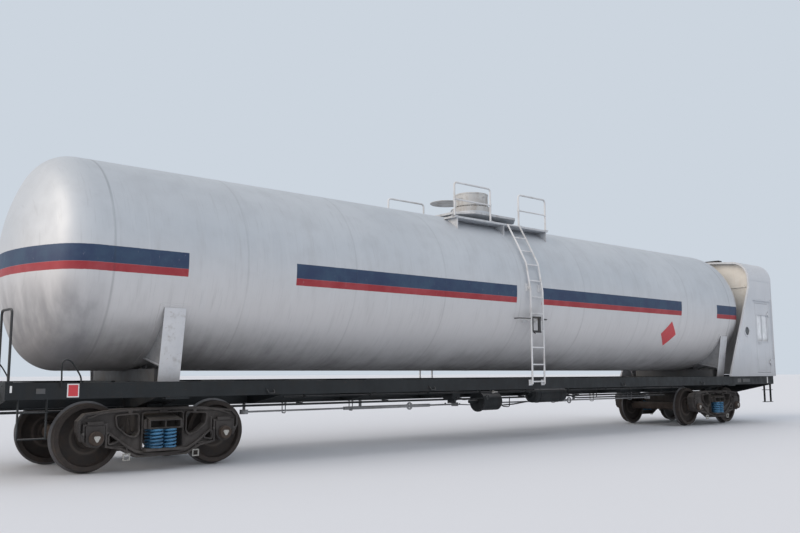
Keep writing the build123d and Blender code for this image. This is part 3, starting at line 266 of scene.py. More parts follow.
def cabin_paint():
    """White paint with faint runs of rust and a dirty foot."""
    p = Paint("cabin_white_paint")
    broad = p.noise(0.8, 5)
    cloud = p.noise(0.2, 6, 0.6)
    run = p.noise(0.05, 6, 0.62, (1, 1, 14))
    fine = p.noise(0.006)
    p.colour = p.mix(p.fade(broad, 0.3, 0.7), (182, 187, 194), (193, 197, 203))
    p.coat(p.fade(cloud, 0.45, 0.8, 0.0, 0.3), (172, 175, 181))
    p.coat(p.fade(run, 0.52, 0.75, 0.0, 0.34), (160, 158, 158))
    p.coat(p.fade(run, 0.68, 0.8, 0.0, 0.4), (170, 146, 122))
    p.coat(p.fade(p.plus(p.z, p.times(cloud, 0.4)), 1.2, 2.1, 0.5, 0.0), (132, 131, 133))
    p.coat(p.fade(p.noise(0.04, 6, 0.7), 0.64, 0.7, 0.0, 0.55), (140, 128, 118))
    rough = p.fade(cloud, 0.3, 0.7, 0.45, 0.62)
    return p.finish(rough, [(fine, 0.0004), (broad, 0.008), (run, 0.0005)], 0.0, 0.4, 0.004)


def leg_paint():
    """White paint on the outer plates of the saddle legs, with painted shade in grey on their webs."""
    p = Paint("leg_white_paint")
    broad = p.noise(0.4, 5)
    cloud = p.noise(0.12, 6, 0.65)
    fine = p.noise(0.008, 5)
    p.colour = p.mix(p.fade(broad, 0.3, 0.7), (186, 189, 195), (200, 202, 206))
    p.coat(p.fade(cloud, 0.5, 0.75, 0.0, 0.5), (138, 132, 128))
    # painted shade: darker grey on the webs, which face along the car
    p.coat(p.times(p.fade(p.end_on, 0.5, 0.9), p.fade(cloud, 0.2, 0.7, 0.85, 0.6)), (92, 93, 95))
    p.coat(p.fade(p.plus(p.z, p.times(cloud, 0.2)), 1.15, 1.4, 0.6, 0.0), (110, 106, 103))
    p.coat(p.fade(p.noise(0.03, 6, 0.7), 0.62, 0.70, 0.0, 0.6), (124, 84, 58))
    rough = p.fade(cloud, 0.3, 0.7, 0.45, 0.65)
    return p.finish(rough, [(fine, 0.0004), (broad, 0.003)], 0.0, 0.4, 0.003)


def front_wall_painted_light():
    """White paint of the wall that faces the tank's end, painted warm and bright as sunlight, with painted
    shade low down.
    """
    p = Paint("cabin_front_painted_light")
    cloud = p.noise(0.3, 6, 0.6)
    run = p.noise(0.07, 6, 0.62, (1, 1, 12))
    fine = p.noise(0.006)
    # warm bright white: painted sunlight on the wall
    p.colour = p.mix(p.fade(cloud, 0.35, 0.7), (214, 212, 207), (203, 201, 196))
    p.coat(p.fade(run, 0.54, 0.76, 0.0, 0.36), (186, 168, 144))
    # darker low down: painted shade where the tank's end shades the wall
    p.coat(p.fade(p.z, 3.2, 2.1, 0.0, 0.7), (170, 171, 174))
    rough = p.fade(cloud, 0.3, 0.7, 0.5, 0.7)
    return p.finish(rough, [(fine, 0.0004), (run, 0.0006)], 0.0, 0.35, 0.004)


def wheel_steel(name, centre_x):
    """Rusty dusty steel in rings of light and dark, one of them a painted highlight round the hub, bright
    where the tread runs.
    """
    p = Paint(name)
    patch = p.noise(0.09, 6, 0.65)
    fine = p.noise(0.008, 5, 0.7)
    across = p.plus(p.x, -centre_x)
    above = p.plus(p.z, -axle_z)
    radius = p.math("SQRT", p.plus(p.times(across, across), p.times(above, above)))
    p.colour = p.mix(p.fade(patch, 0.35, 0.7), (46, 42, 40), (68, 61, 57))
    p.coat(p.fade(patch, 0.56, 0.8, 0.0, 0.6), (78, 56, 43))
    # rings: a lighter rim, a painted highlight round the hub, and a darker band over the web
    for low, high, soft, amount, tone in (
        (0.350, 0.412, 0.006, 0.35, (70, 64, 61)), (0.185, 0.215, 0.012, 0.55, (96, 89, 84)),
        (0.225, 0.340, 0.030, 0.35, (34, 31, 30)),
    ):
        p.coat(p.times(p.band(radius, low, high, soft), amount), tone)
    bright = p.fade(radius, 0.4185, 0.4205)
    p.coat(p.times(bright, p.fade(fine, 0.2, 0.6, 0.4, 0.8)), (120, 119, 120))
    p.coat(p.fade(fine, 0.35, 0.7, 0.0, 0.3), (38, 34, 33))
    rough = p.plus(p.fade(patch, 0.3, 0.7, 0.62, 0.85), p.times(bright, -0.34))
    return p.finish(rough, [(fine, 0.0008), (patch, 0.002)], p.times(bright, 0.8), 0.35, 0.005)


def board_steel():
    """Grey tread plate: raised lozenges on worn paint."""
    p = Paint("walk_tread_plate")
    patch = p.noise(0.12, 6, 0.65)
    fine = p.noise(0.008, 5)
    pitch = 0.04
    slants = [p.plus(p.x, p.times(p.y, sign)) for sign in (-1.0, 1.0)]
    ridges = [p.fade(p.math("SINE", p.times(slant, 2 * pi / pitch)), 0.72, 0.9) for slant in slants]
    p.colour = p.mix(p.fade(patch, 0.35, 0.7), (192, 196, 201), (166, 169, 173))
    p.coat(p.fade(patch, 0.58, 0.78, 0.0, 0.5), (132, 112, 96))
    p.coat(p.fade(p.up, 0.5, 0.9, 0.0, 0.35), (206, 208, 212))
    rough = p.fade(patch, 0.3, 0.7, 0.5, 0.75)
    return p.finish(rough, [(p.most(*ridges), 0.0015), (fine, 0.0005)], 0.1, 0.4)


def glass(name, tone, rough):
    """Dusty glass, nearly opaque from outside."""
    p = Paint(name)
    film = p.noise(0.08, 6, 0.6, (1, 1, 2))
    fine = p.noise(0.02)
    foot = pane_low[2]
    p.colour = p.mix(p.fade(film, 0.35, 0.7), tone, tuple(min(255, c + 26) for c in tone))
    p.coat(p.fade(p.z, foot, foot + 0.1, 0.5, 0.0), (112, 110, 108))
    return p.finish(p.fade(film, 0.3, 0.7, rough, rough + 0.2), [(fine, 0.0002)], 0.0, 0.8)


def floor_boards():
    """Worn deck boards along the cabin, dark from below."""
    p = Paint("cabin_boards")
    grain = p.noise(0.02, 6, 0.7, (12, 1, 1))
    patch = p.noise(0.2, 5)
    board = 0.14
    gap = p.fade(p.math("ABSOLUTE", p.math("SINE", p.times(p.y, pi / board))), 0.0, 0.06)
    p.colour = p.mix(grain, (92, 80, 66), (140, 122, 100))
    p.coat(p.fade(patch, 0.4, 0.7, 0.0, 0.5), (84, 78, 72))
    p.colour = p.mix(gap, (30, 26, 24), p.colour)
    p.coat(p.fade(p.up, 0.4, 0.8, 1.0, 0.0), (34, 38, 42))
    return p.finish(p.fade(grain, 0.2, 0.8, 0.6, 0.85), [(grain, 0.001), (gap, 0.003)], 0.0, 0.3)


pale_dust = (150, 149, 150)
paints = {
    "tank_paint": tank_paint(),
    "cabin_paint": cabin_paint(),
    "cabin_floor": floor_boards(),
    "pane": glass("pane_glass", (200, 204, 209), 0.3),
    "walk_board": board_steel(),
    "leg_paint": leg_paint(),
    "frame_paint": weathered(
        "frame_black_paint", (17, 22, 26), (25, 30, 33), (46, 44, 42), 0.42, pale_dust, 0.6, 0.35,
        soft_edge=0.004),
    "base_paint": weathered(
        "saddle_grey_paint", (74, 76, 79), (88, 90, 92), (96, 90, 84), 0.5, pale_dust, 0.6, 0.4,
        soft_edge=0.004),
    "dome_paint": weathered(
        "guard_white_paint", (182, 185, 187), (170, 173, 176), (130, 119, 107), 0.6,
        rust=0.7, roughness=(0.4, 0.6), grain=0.0004, soft_edge=0.003),
    "valve_brass": weathered(
        "valve_dull_metal", (122, 116, 100), (104, 100, 92), (70, 64, 58), 0.6,
        roughness=(0.35, 0.6), metallic=0.6, soft_edge=0.002),
    "rail_paint": weathered(
        "rail_grey_paint", (208, 211, 215), (194, 197, 201), (140, 132, 124), 0.4,
        rust=0.6, roughness=(0.4, 0.6), grain=0.0003),
    "black_rail": weathered(
        "rail_black_paint", (30, 34, 38), (42, 46, 50), (88, 80, 72), 0.4, pale_dust, 0.5, 0.5),
    "coupler_cast": weathered(
        "coupler_rusty_casting", (72, 60, 52), (92, 76, 64), (54, 46, 42), 0.6, pale_dust, 0.4, 0.8,
        (0.6, 0.85), 0.0012, soft_edge=0.008),
    "bogie_cast": weathered(
        "bogie_dusty_casting", (62, 59, 58), (81, 77, 75), (42, 39, 38), 0.6, (120, 115, 110), 0.55, 0.55,
        (0.62, 0.85), 0.0012, soft_edge=0.009),
    "spring_paint": weathered(
        "spring_blue_paint", (70, 130, 172), (58, 110, 150), (46, 66, 82), 0.5, (120, 128, 134), 0.5,
        roughness=(0.42, 0.65), grain=0.0004),
    "axle_steel": weathered(
        "axle_brown_steel", (66, 56, 50), (84, 72, 64), (46, 40, 37), 0.6, (120, 114, 108), 0.4, 0.6,
        (0.6, 0.8), soft_edge=0.004),
    "bare_steel": weathered(
        "small_worn_steel", (96, 94, 92), (78, 74, 72), (58, 50, 46), 0.5, rust=0.8, metallic=0.4),
    # pale grey: the rods' steel painted lighter, as painted light in the shade under the car
    "rod_steel": weathered(
        "brake_rod_steel_painted_light", (158, 160, 163), (132, 134, 137), (96, 88, 80), 0.45,
        rust=0.3, roughness=(0.4, 0.6)),
    "lock_plate": weathered(
        "lock_plate_zinc", (190, 190, 186), (170, 170, 166), (128, 124, 118), 0.4,
        roughness=(0.35, 0.55), grain=0.0003, metallic=0.3),
    "sign_red": weathered(
        "plate_red_paint", (196, 58, 66), (182, 62, 70), (150, 96, 96), 0.4,
        roughness=(0.35, 0.55), grain=0.0003),
    "sign_white": weathered(
        "plate_white_paint", (222, 223, 224), (208, 210, 212), (168, 164, 160), 0.4,
        roughness=(0.35, 0.55), grain=0.0003),
    "dark_glass": glass("dark_glass", (34, 38, 44), 0.08),
    "front_wall": front_wall_painted_light(),
}
own_finish = {
    "walkway_boards": "walk_board", "neck_tray": "walk_board", "saddle_bases": "base_paint",
    "cabin_bulkhead": "front_wall", "cabin_panes": "dark_glass", "brake_rods": "rod_steel",
}
for name, made in nodes.items():
    kind = own_finish.get(name, slot_of[name])
    if kind == "wheel_steel":
        low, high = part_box(name)
        paint = wheel_steel("wheel_steel_" + name[-2:], (low[0] + high[0]) / 2)
    else:
        paint = paints[kind]
    made.data.materials.clear()
    made.data.materials.append(paint)


# Shape helpers
def placed(name, data):
    """New object in the scene for a mesh, a lamp or a camera."""
    made = bpy.data.objects.new(name, data)
    bpy.context.scene.collection.objects.link(made)
    return made


def around(middle, half):
    """Stretch that reaches as far to both sides of its middle."""
    return (middle - half, middle + half)


def arc(centre, radius, start, end, count, plane):
    """Points on an arc in degrees; plane gives the two axes it turns in."""
    first, second = Vector(plane[0]), Vector(plane[1])
    turns = [radians(start + (end - start) * i / count) for i in range(count + 1)]
    return [Vector(centre) + (first * cos(t) + second * sin(t)) * radius for t in turns]


def circle(centre, radius, count, plane, first=0.0):
    """Points evenly round a circle, the first of them at an angle in degrees."""
    return arc(centre, radius, first, first + 360, count, plane)[:-1]


def bent(points, radius, closed=False):
    """Points with each corner rounded by a short curve of five chords."""
    points = [Vector(p) for p in points]
    share = 0.45 if closed else 0.5
    out = []
    for i in range(len(points)) if closed else range(1, len(points) - 1):
        a, b, c = points[i - 1], points[i], points[(i + 1) % len(points)]
        reach = min(radius, (a - b).length * share, (c - b).length * share)
        start, end = b + (a - b).normalized() * reach, b + (c - b).normalized() * reach
        steps = [k / 5 for k in range(6)]
        out += [start * (1 - t) ** 2 + b * 2 * t * (1 - t) + end * t**2 for t in steps]
    return out if closed else [points[0], *out, points[-1]]


class Shape:
    """Vertices and faces of one piece, gathered from swept, turned and cut forms."""

    def __init__(self):
        self.verts = []
        self.faces = []

    def rings(self, rows, closed=False):
        """Skin over rows of points; closed joins the last row to the first."""
        start, count, total = len(self.verts), len(rows[0]), len(rows)
        for row in rows:
            self.verts += [tuple(point) for point in row]
        for i in range(total if closed else total - 1):
            a, b = start + i * count, start + (i + 1) % total * count
            self.faces += [(a + j, a + (j + 1) % count, b + (j + 1) % count, b + j) for j in range(count)]
        if not closed:
            self.faces.append(tuple(range(start, start + count)))
            self.faces.append(tuple(range(start + (total - 1) * count, start + total * count)))

    def sweep(self, points, radius, sides=8, closed=False):
        """Round bar along points; radius is one number, or one for each point."""
        points = [Vector(p) for p in points]
        total = len(points)
        radii = radius if isinstance(radius, (list, tuple)) else [radius] * total
        rows, normal = [], None
        for i, point in enumerate(points):
            before = points[i - 1] if i or closed else point
            after = points[(i + 1) % total] if i < total - 1 or closed else point
            along = (after - before).normalized()
            if normal is None:
                normal = along.orthogonal().normalized()
            normal = (normal - along * normal.dot(along)).normalized()
            rows.append(circle(point, radii[i], sides, (normal, along.cross(normal))))
        self.rings(rows, closed)

    def rod(self, points, radius, corner):
        """Round bar with bent corners."""
        self.sweep(bent(points, corner), radius)

    def handle(self, feet, out, radius, corner, inset=0.0):
        """Bent bar between two feet; its grip stands off by out and is shorter by inset at each end."""
        start, end = [Vector(foot) for foot in feet]
        shift = (end - start).normalized() * inset
        self.rod([start, start + Vector(out) + shift, end + Vector(out) - shift, end], radius, corner)

    def lathe(self, centre, axis, profile, sides=16, closed=False):
        """Turned form: profile of (distance along the axis, radius)."""
        centre, axis = Vector(centre), Vector(axis).normalized()
        normal = axis.orthogonal().normalized()
        plane = (normal, axis.cross(normal))
        rows = [circle(centre + axis * along, radius, sides, plane) for along, radius in profile]
        self.rings(rows, closed)

    def slab(self, outline, push):
        """Plate: an outline pushed along a vector."""
        self.rings([outline, [Vector(p) + Vector(push) for p in outline]])

    def box(self, x, y, z):
        self.slab([(x[0], y[0], z[0]), (x[1], y[0], z[0]), (x[1], y[1], z[0]), (x[0], y[1], z[0])],
                  (0, 0, z[1] - z[0]))

    def bolts(self, places, axis, radius, height=None):
        """Hexagon heads on washers, each with a short thread end."""
        tall = height or radius * 0.8
        for at in places:
            self.lathe(at, axis, [(0, radius * 1.35), (tall * 0.18, radius * 1.35)], 12)
            self.lathe(at, axis, [(tall * 0.15, radius), (tall * 0.9, radius), (tall, radius * 0.86)], 6)
            self.lathe(at, axis, [(tall, radius * 0.5), (tall * 1.4, radius * 0.45)], 8)

    def mirrored(self):
        """Adds the same forms on the other side of the car."""
        start = len(self.verts)
        self.verts += [(x, -y, z) for x, y, z in self.verts]
        self.faces += [tuple(start + i for i in reversed(face)) for face in self.faces]
        return self

    def make(self, name, body, finish, slot, bevel=0.0):
        """The finished piece, riding on its body, with shading that breaks at sharp edges."""
        crease = radians(32)
        mesh = bpy.data.meshes.new(name)
        mesh.from_pydata(self.verts, [], self.faces)
        work = bmesh.new()
        work.from_mesh(mesh)
        bmesh.ops.recalc_face_normals(work, faces=work.faces)
        for face in work.faces:
            face.smooth = True
        for edge in work.edges:
            edge.smooth = not (edge.is_manifold and edge.calc_face_angle(0) > crease)
        work.to_mesh(mesh)
        work.free()
        made = placed(name, mesh)
        if bevel:
            rounded = made.modifiers.new("edges", "BEVEL")
            rounded.width = bevel
            rounded.segments = 2
            rounded.limit_method = "ANGLE"
            rounded.angle_limit = radians(40)
        mesh.materials.append(paints[finish])
        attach(made, body)
        return made


# Tank details
def tank_seams():
    """Weld beads round the barrel, one at each head and the rest evenly between."""
    shape = Shape()
    half, foot, crown = 0.011, tank_r - 0.001, tank_r + 0.0015
    profile = [(-half, foot), (-half / 2, crown), (half / 2, crown), (half, foot)]
    for i in range(seam_count + 1):
        x = seam_x0 + (seam_x1 - seam_x0) * i / seam_count
        shape.lathe((x, 0, tank_z), X, profile, 120, True)
    shape.make("tank_seams", "car", "tank_paint", "tank_paint")


def flank_reach(z):
    """How far the tank's side stands out at a height."""
    return sqrt(tank_r**2 - (z - tank_z) ** 2)


def flank_point(x, along, proud):
    """Point on the -Y flank, a distance along its curve below the tank's middle."""
    turn = along / tank_r
    reach = tank_r + proud
    return (x, -reach * cos(turn), tank_z - reach * sin(turn))


def blank_sign():
    """Bare red diamond with a white edge on each flank."""
    centre_x, drop = 4.60, 0.665
    steps = 10
    row = steps + 1
    for name, half, proud, finish in (
        ("sign_edge", 0.312, 0.002, "sign_white"), ("sign_face", 0.296, 0.0034, "sign_red"),
    ):
        shape = Shape()
        for level in (proud, -0.004):
            start = len(shape.verts)
            for i, j in product(range(row), repeat=2):
                s, t = (i / steps - 0.5) * half, (j / steps - 0.5) * half
                shape.verts.append(flank_point(centre_x + s + t, drop + s - t, level))
            corners = [start + i * row + j for i, j in product(range(steps), repeat=2)]
            shape.faces += [(k, k + 1, k + row + 1, k + row) for k in corners]
        shape.mirrored().make(name, "car", finish, "tank_paint")


# Guard, cover and tray
cover_low, cover_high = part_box("manway_cover")
dome_x = (cover_low[0] + cover_high[0]) / 2
cover_r = (cover_high[0] - cover_low[0]) / 2
cover_top = cover_high[2]
guard_low, guard_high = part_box("guard_cylinder")
guard_r = (guard_high[0] - guard_low[0]) / 2


def manway_bolts():
    """Nuts round the cover and under its flange."""
    shape = Shape()
    count, flange_foot = 28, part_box("manway_neck")[1][2] - 0.084
    for z, axis, radius, height in (
        (cover_top - 0.001, Z, 0.013, 0.014), (flange_foot, DOWN, 0.014, 0.024),
    ):
        places = circle((dome_x, 0, z), cover_r - 0.022, count, (X, Y), 180 / count)
        shape.bolts(places, axis, radius, height)
    shape.make("manway_bolts", "car", "bare_steel", "dome_paint")


def guard_trim():
    """Bands round the guard, with two lift handles and a latch."""
    shape = Shape()
    top, outer, inner = guard_high[2], guard_r + 0.006, guard_r - 0.002
    for z, tall in ((top - 0.026, 0.024), (guard_low[2] + 0.03, 0.02)):
        shape.lathe((dome_x, 0, z), Z, [(0, inner), (0, outer), (tall, outer), (tall, inner)], 64, True)
    for side in (-1, 1):
        x = dome_x + side * (guard_r - 0.004)
        shape.handle([(x, -0.06, top - 0.11), (x, 0.06, top - 0.11)], (side * 0.049, 0, 0), 0.007, 0.02)
    latch_y = -guard_r - 0.014
    shape.box(around(dome_x, 0.03), (latch_y, -guard_r + 0.004), (top - 0.09, top - 0.03))
    shape.sweep([(dome_x, latch_y, top - 0.075), (dome_x, latch_y - 0.016, top - 0.075)], 0.009, 10)
    shape.make("guard_trim", "car", "dome_paint", "dome_paint", 0.0015)


def valve_wheels():
    """Hand wheels and flange nuts on the valves inside the guard."""
    shape = Shape()
    rim_r = 0.055
    for angle, height in ((65, 0.12), (155, 0.12), (245, 0.10)):
        foot = circle((dome_x, 0, cover_top), 0.215, 1, (X, Y), angle)[0]
        shape.lathe(foot, Z, [(0, 0.03), (0.012, 0.03), (0.012, 0.012), (height, 0.011), (height, 0.016),
                              (height + 0.018, 0.016)], 14)
        hub = foot + Vector((0, 0, height + 0.008))
        shape.sweep(circle(hub, rim_r, 24, (X, Y)), 0.007, closed=True)
        for end in circle(hub, rim_r, 4, (X, Y), 20):
            shape.sweep([hub, end], 0.005, 6)
    for middle in circle((dome_x, 0, cover_top + 0.021), 0.2, 4, (X, Y), 20):
        shape.bolts(circle(middle, 0.068, 6, (X, Y)), Z, 0.007)
    shape.make("valve_wheels", "car", "valve_brass", "valve_brass")


def lid_trim():
    """Rolled edge, hinge strap and handle of the guard's lid, which lies open at rest."""
    shape = Shape()
    low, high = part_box("guard_lid")
    radius = (high[0] - low[0]) / 2
    y = high[1] - radius
    under = (low[2] + high[2]) / 2 - 0.004
    shape.sweep(circle((dome_x, y, low[2] + 0.007), radius - 0.006, 60, (X, Y)), 0.006, closed=True)
    shape.box(around(dome_x, 0.022), (y - radius + 0.05, y + 0.10), (under - 0.006, under))
    shape.box(around(dome_x, 0.20), around(y, 0.02), (under - 0.006, under))
    shape.handle([(x, y + 0.2, under) for x in around(dome_x, 0.05)], (0, 0, -0.035), 0.006, 0.015)
    shape.make("lid_trim", "guard_lid", "dome_paint", "dome_paint", 0.001)


# Walkways and ladders
post_half = 0.017
rail_low, rail_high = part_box("walkway_rails")
rail_y = post_half - rail_high[1]
board_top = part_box("walkway_boards")[1][2]
ladder_low, ladder_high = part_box("side_ladders")
ladder_x = (ladder_low[0] + ladder_high[0]) / 2
ladder_half = (ladder_high[0] - ladder_low[0]) / 2
ladder_y = ladder_low[1] + post_half


def post_feet():
    """Base plates of the rails' posts with their bolts, and clamps at the knee rail."""
    shape = Shape()
    foot_top = board_top + 0.008
    clamp_z = (board_top + rail_high[2]) / 2 - 0.03
    clamp = [(0, 0.018), (0.004, 0.022), (0.04, 0.022), (0.044, 0.018)]
    for x in (rail_low[0] + post_half, -0.61, 0.17, rail_high[0] - post_half):
        shape.box(around(x, 0.045), (rail_y - 0.04, rail_y + 0.045), (board_top, foot_top))
        shape.bolts([(bolt_x, rail_y + 0.028, foot_top) for bolt_x in around(x, 0.032)], Z, 0.008)
        shape.lathe((x, rail_y, clamp_z), Z, clamp, 14)
    shape.mirrored().make("post_feet", "car", "rail_paint", "rail_paint", 0.001)


def ladder_fittings():
    """Brackets of the ladder on the tank and the sill, and the locking gear across its rungs."""
    light, dark = Shape(), Shape()
    for side in (-1, 1):
        x = ladder_x + side * (ladder_half - post_half)
        for z in (tank_z + 0.06, tank_z - 0.5):
            face = -flank_reach(z) - 0.012
            light.box(around(x, 0.05), (face, face + 0.042), around(z, 0.07))
            light.bolts([(x + 0.032 * side, face, bolt_z) for bolt_z in around(z, 0.045)], NEAR, 0.008)
        light.box(around(x, 0.045), (sill_y - 0.010, sill_y), around(sill_top - 0.075, 0.05))
    # lock across the middle rungs, with a lever
    lock_y, lock_low, lock_high = ladder_y - 0.026, (1.945, 1.985), (2.2, 2.235)
    for z in (lock_low, lock_high):
        dark.box((ladder_x - 0.15, ladder_x + 0.07), around(lock_y, 0.008), z)
    dark.box(around(ladder_x + 0.02, 0.03), (lock_y - 0.014, lock_y + 0.010), (lock_low[0], lock_high[1]))
    lever = [(-0.15, 2.22), (-0.15, 1.96), (-0.09, 1.93)]
    dark.rod([(ladder_x + dx, lock_y, z) for dx, z in lever], 0.010, 0.03)
    # stays from the stiles out and back to the tank
    z = lock_high[0]
    for stile, stay in ((-ladder_half, -0.43), (ladder_half, 0.36)):
        out = ladder_x + stay
        path = [(ladder_x + stile, ladder_y, z), (out, ladder_y + 0.06, z), (out, 0.02 - flank_reach(z), z)]
        dark.rod(path, 0.010, 0.05)
    light.mirrored().make("ladder_brackets", "car", "rail_paint", "rail_paint", 0.001)
    dark.mirrored().make("ladder_lock", "car", "black_rail", "rail_paint", 0.001)


# Side sills
def sill_fittings():
    """Rope hoop, jacking pads and lashing rings along the side sills."""
    shape = Shape()
    # hoop over the sill near the -X end, in a plane along the car: (x, z)
    hoop = [(-8.398, sill_top - 0.05), (-8.398, 1.19), (-8.405, 1.35), (-8.37, 1.40), (-8.30, 1.385),
            (-8.24, 1.30), (-8.175, 1.19), (-8.175, sill_top - 0.05)]
    shape.rod([(x, sill_y - 0.012, z) for x, z in hoop], 0.010, 0.04)
    for pivot in bogie_x.values():
        shape.box(around(pivot, 0.16), (sill_y + 0.01, sill_y + 0.11), (sill_low - 0.028, sill_low))
    eye_z = sill_low + 0.07
    for x in (-5.6, -2.6, 2.6, 5.6):
        feet = [(foot_x, sill_y - 0.004, eye_z) for foot_x in around(x, 0.05)]
        shape.handle(feet, (0, -0.036, -0.05), 0.008, 0.03)
        shape.box(around(x, 0.075), (sill_y - 0.006, sill_y), around(eye_z, 0.025))
    shape.mirrored().make("sill_fittings", "car", "frame_paint", "frame_paint", 0.0015)


def sill_plates():
    """Bare plates and marks on the sills' outer faces."""
    middle = (sill_low + sill_top) / 2
    # each plate: middle and half width along X, middle and half height along Z
    for name, finish, proud, plates in (
        ("sill_plate_edge", "sign_white", 0.005, [(-8.2585, 0.0685, 1.04, 0.078)]),
        ("sill_plate_face", "sign_red", 0.007, [(-8.2585, 0.0555, 1.04, 0.065)]),
        ("sill_bare_plates", "base_paint", 0.004,
         [(-8.62, 0.05, middle, 0.03), (7.28, 0.085, middle, 0.045), (7.62, 0.17, middle, 0.04)]),
        ("sill_white_marks", "sign_white", 0.004,
         [(-8.94, 0.011, 1.062, 0.038), (8.68, 0.0225, 1.0415, 0.0795)]),
    ):
        shape = Shape()
        for x, half_x, z, half_z in plates:
            shape.box(around(x, half_x), (sill_y - proud, sill_y + 0.001), around(z, half_z))
        shape.mirrored().make(name, "car", finish, "frame_paint")


# Saddles
def saddle_details():
    """Doubler pads on the tank over the legs, and bolts at the legs' feet."""
    pads, feet = Shape(), Shape()
    half, outer, inner = 0.21, tank_r + 0.010, tank_r - 0.01
    for pivot in bogie_x.values():
        edges = [(pivot - half, outer), (pivot + half, outer), (pivot + half, inner), (pivot - half, inner)]
        arcs = [arc((x, 0, tank_z), reach, -70, -24, 12, (NEAR, Z)) for x, reach in edges]
        pads.rings(list(zip(*arcs)))
        places = product(around(pivot, 0.11), (-0.55, -0.95))
        feet.bolts([(x, y, sill_top + 0.163) for x, y in places], Z, 0.016)
    pads.mirrored().make("saddle_pads", "car", "tank_paint", "tank_paint", 0.002)
    feet.mirrored().make("saddle_bolts", "car", "bare_steel", "frame_paint")


# Bogies
spring_low, spring_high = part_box("bogie_a_springs")[0][2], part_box("bogie_a_springs")[1][2]
spring_y = 0.978
# coils of a spring nest: radius to the wire's middle, turns, and the wire's radius and sides
nest = [(0.0725, 6.5, 0.0135, 8), (0.043, 8.5, 0.008, 6)]
frame_face = -(spring_y + 0.065)
# outline of the large opening each side of the spring window, from the pivot: (x, z)
large_opening = [(0.334, 0.721), (0.618, 0.707), (0.592, 0.577), (0.468, 0.473), (0.370, 0.447),
                 (0.330, 0.499)]
spring_window = [(0.268, 0.287), (0.268, 0.732), (-0.268, 0.732), (-0.268, 0.287)]
# raised bows along the frame, their right halves: (x, z, radius)
lower_bow = [(0.70, 0.505, 0.010), (0.60, 0.425, 0.014), (0.48, 0.335, 0.017), (0.36, 0.262, 0.019),
             (0.22, 0.226, 0.020), (0, 0.218, 0.020)]
upper_bow = [(0.97, 0.690, 0.010), (0.80, 0.742, 0.013), (0.55, 0.768, 0.014), (0.28, 0.777, 0.014),
             (0, 0.779, 0.014)]


def springs(key, pivot):
    """Outer and inner coils of a bogie's eight spring nests, their end turns closed."""
    shape = Shape()
    steps = 20
    dead = 0.8 * steps
    for x, side, dy, coil in product(around(pivot, 0.09), (-1, 1), (-0.084, 0.084), nest):
        radius, turns, wire, sides = coil
        total = int(turns * steps)
        rise = spring_high - spring_low - 2 * wire
        path = []
        for i, t in enumerate(2 * pi * i / steps for i in range(total + 1)):
            share = min(max((i - dead) / (total - 2 * dead), 0), 1) * 0.9 + 0.1 * i / total
            y = side * spring_y + dy + radius * sin(t)
            path.append((x + radius * cos(t), y, spring_low + wire + rise * share))
        shape.sweep(path, wire, sides)
    made = shape.make(f"bogie_{key}_coils", f"bogie_{key}", "spring_paint", "spring_paint")
    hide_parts(f"bogie_{key}_springs")


def bead(shape, pivot, outline, grow, radius):
    """Round bead along a closed outline on the frame's face, pushed out from its middle by grow."""
    mid_x = sum(x for x, _ in outline) / len(outline)
    mid_z = sum(z for _, z in outline) / len(outline)
    path = []
    for x, z in outline:
        share = 1 + grow / hypot(x - mid_x, z - mid_z)
        path.append((pivot + mid_x + (x - mid_x) * share, frame_face + 0.002, mid_z + (z - mid_z) * share))
    shape.sweep(bent(path, 0.05, True), radius, closed=True)


def bow(shape, pivot, half, y):
    """Rib from one pedestal to the other, drawn from its right half."""
    rows = half + [(-x, z, r) for x, z, r in reversed(half[:-1])]
    shape.sweep([(pivot + x, y, z) for x, z, _ in rows], [r for _, _, r in rows], 10)


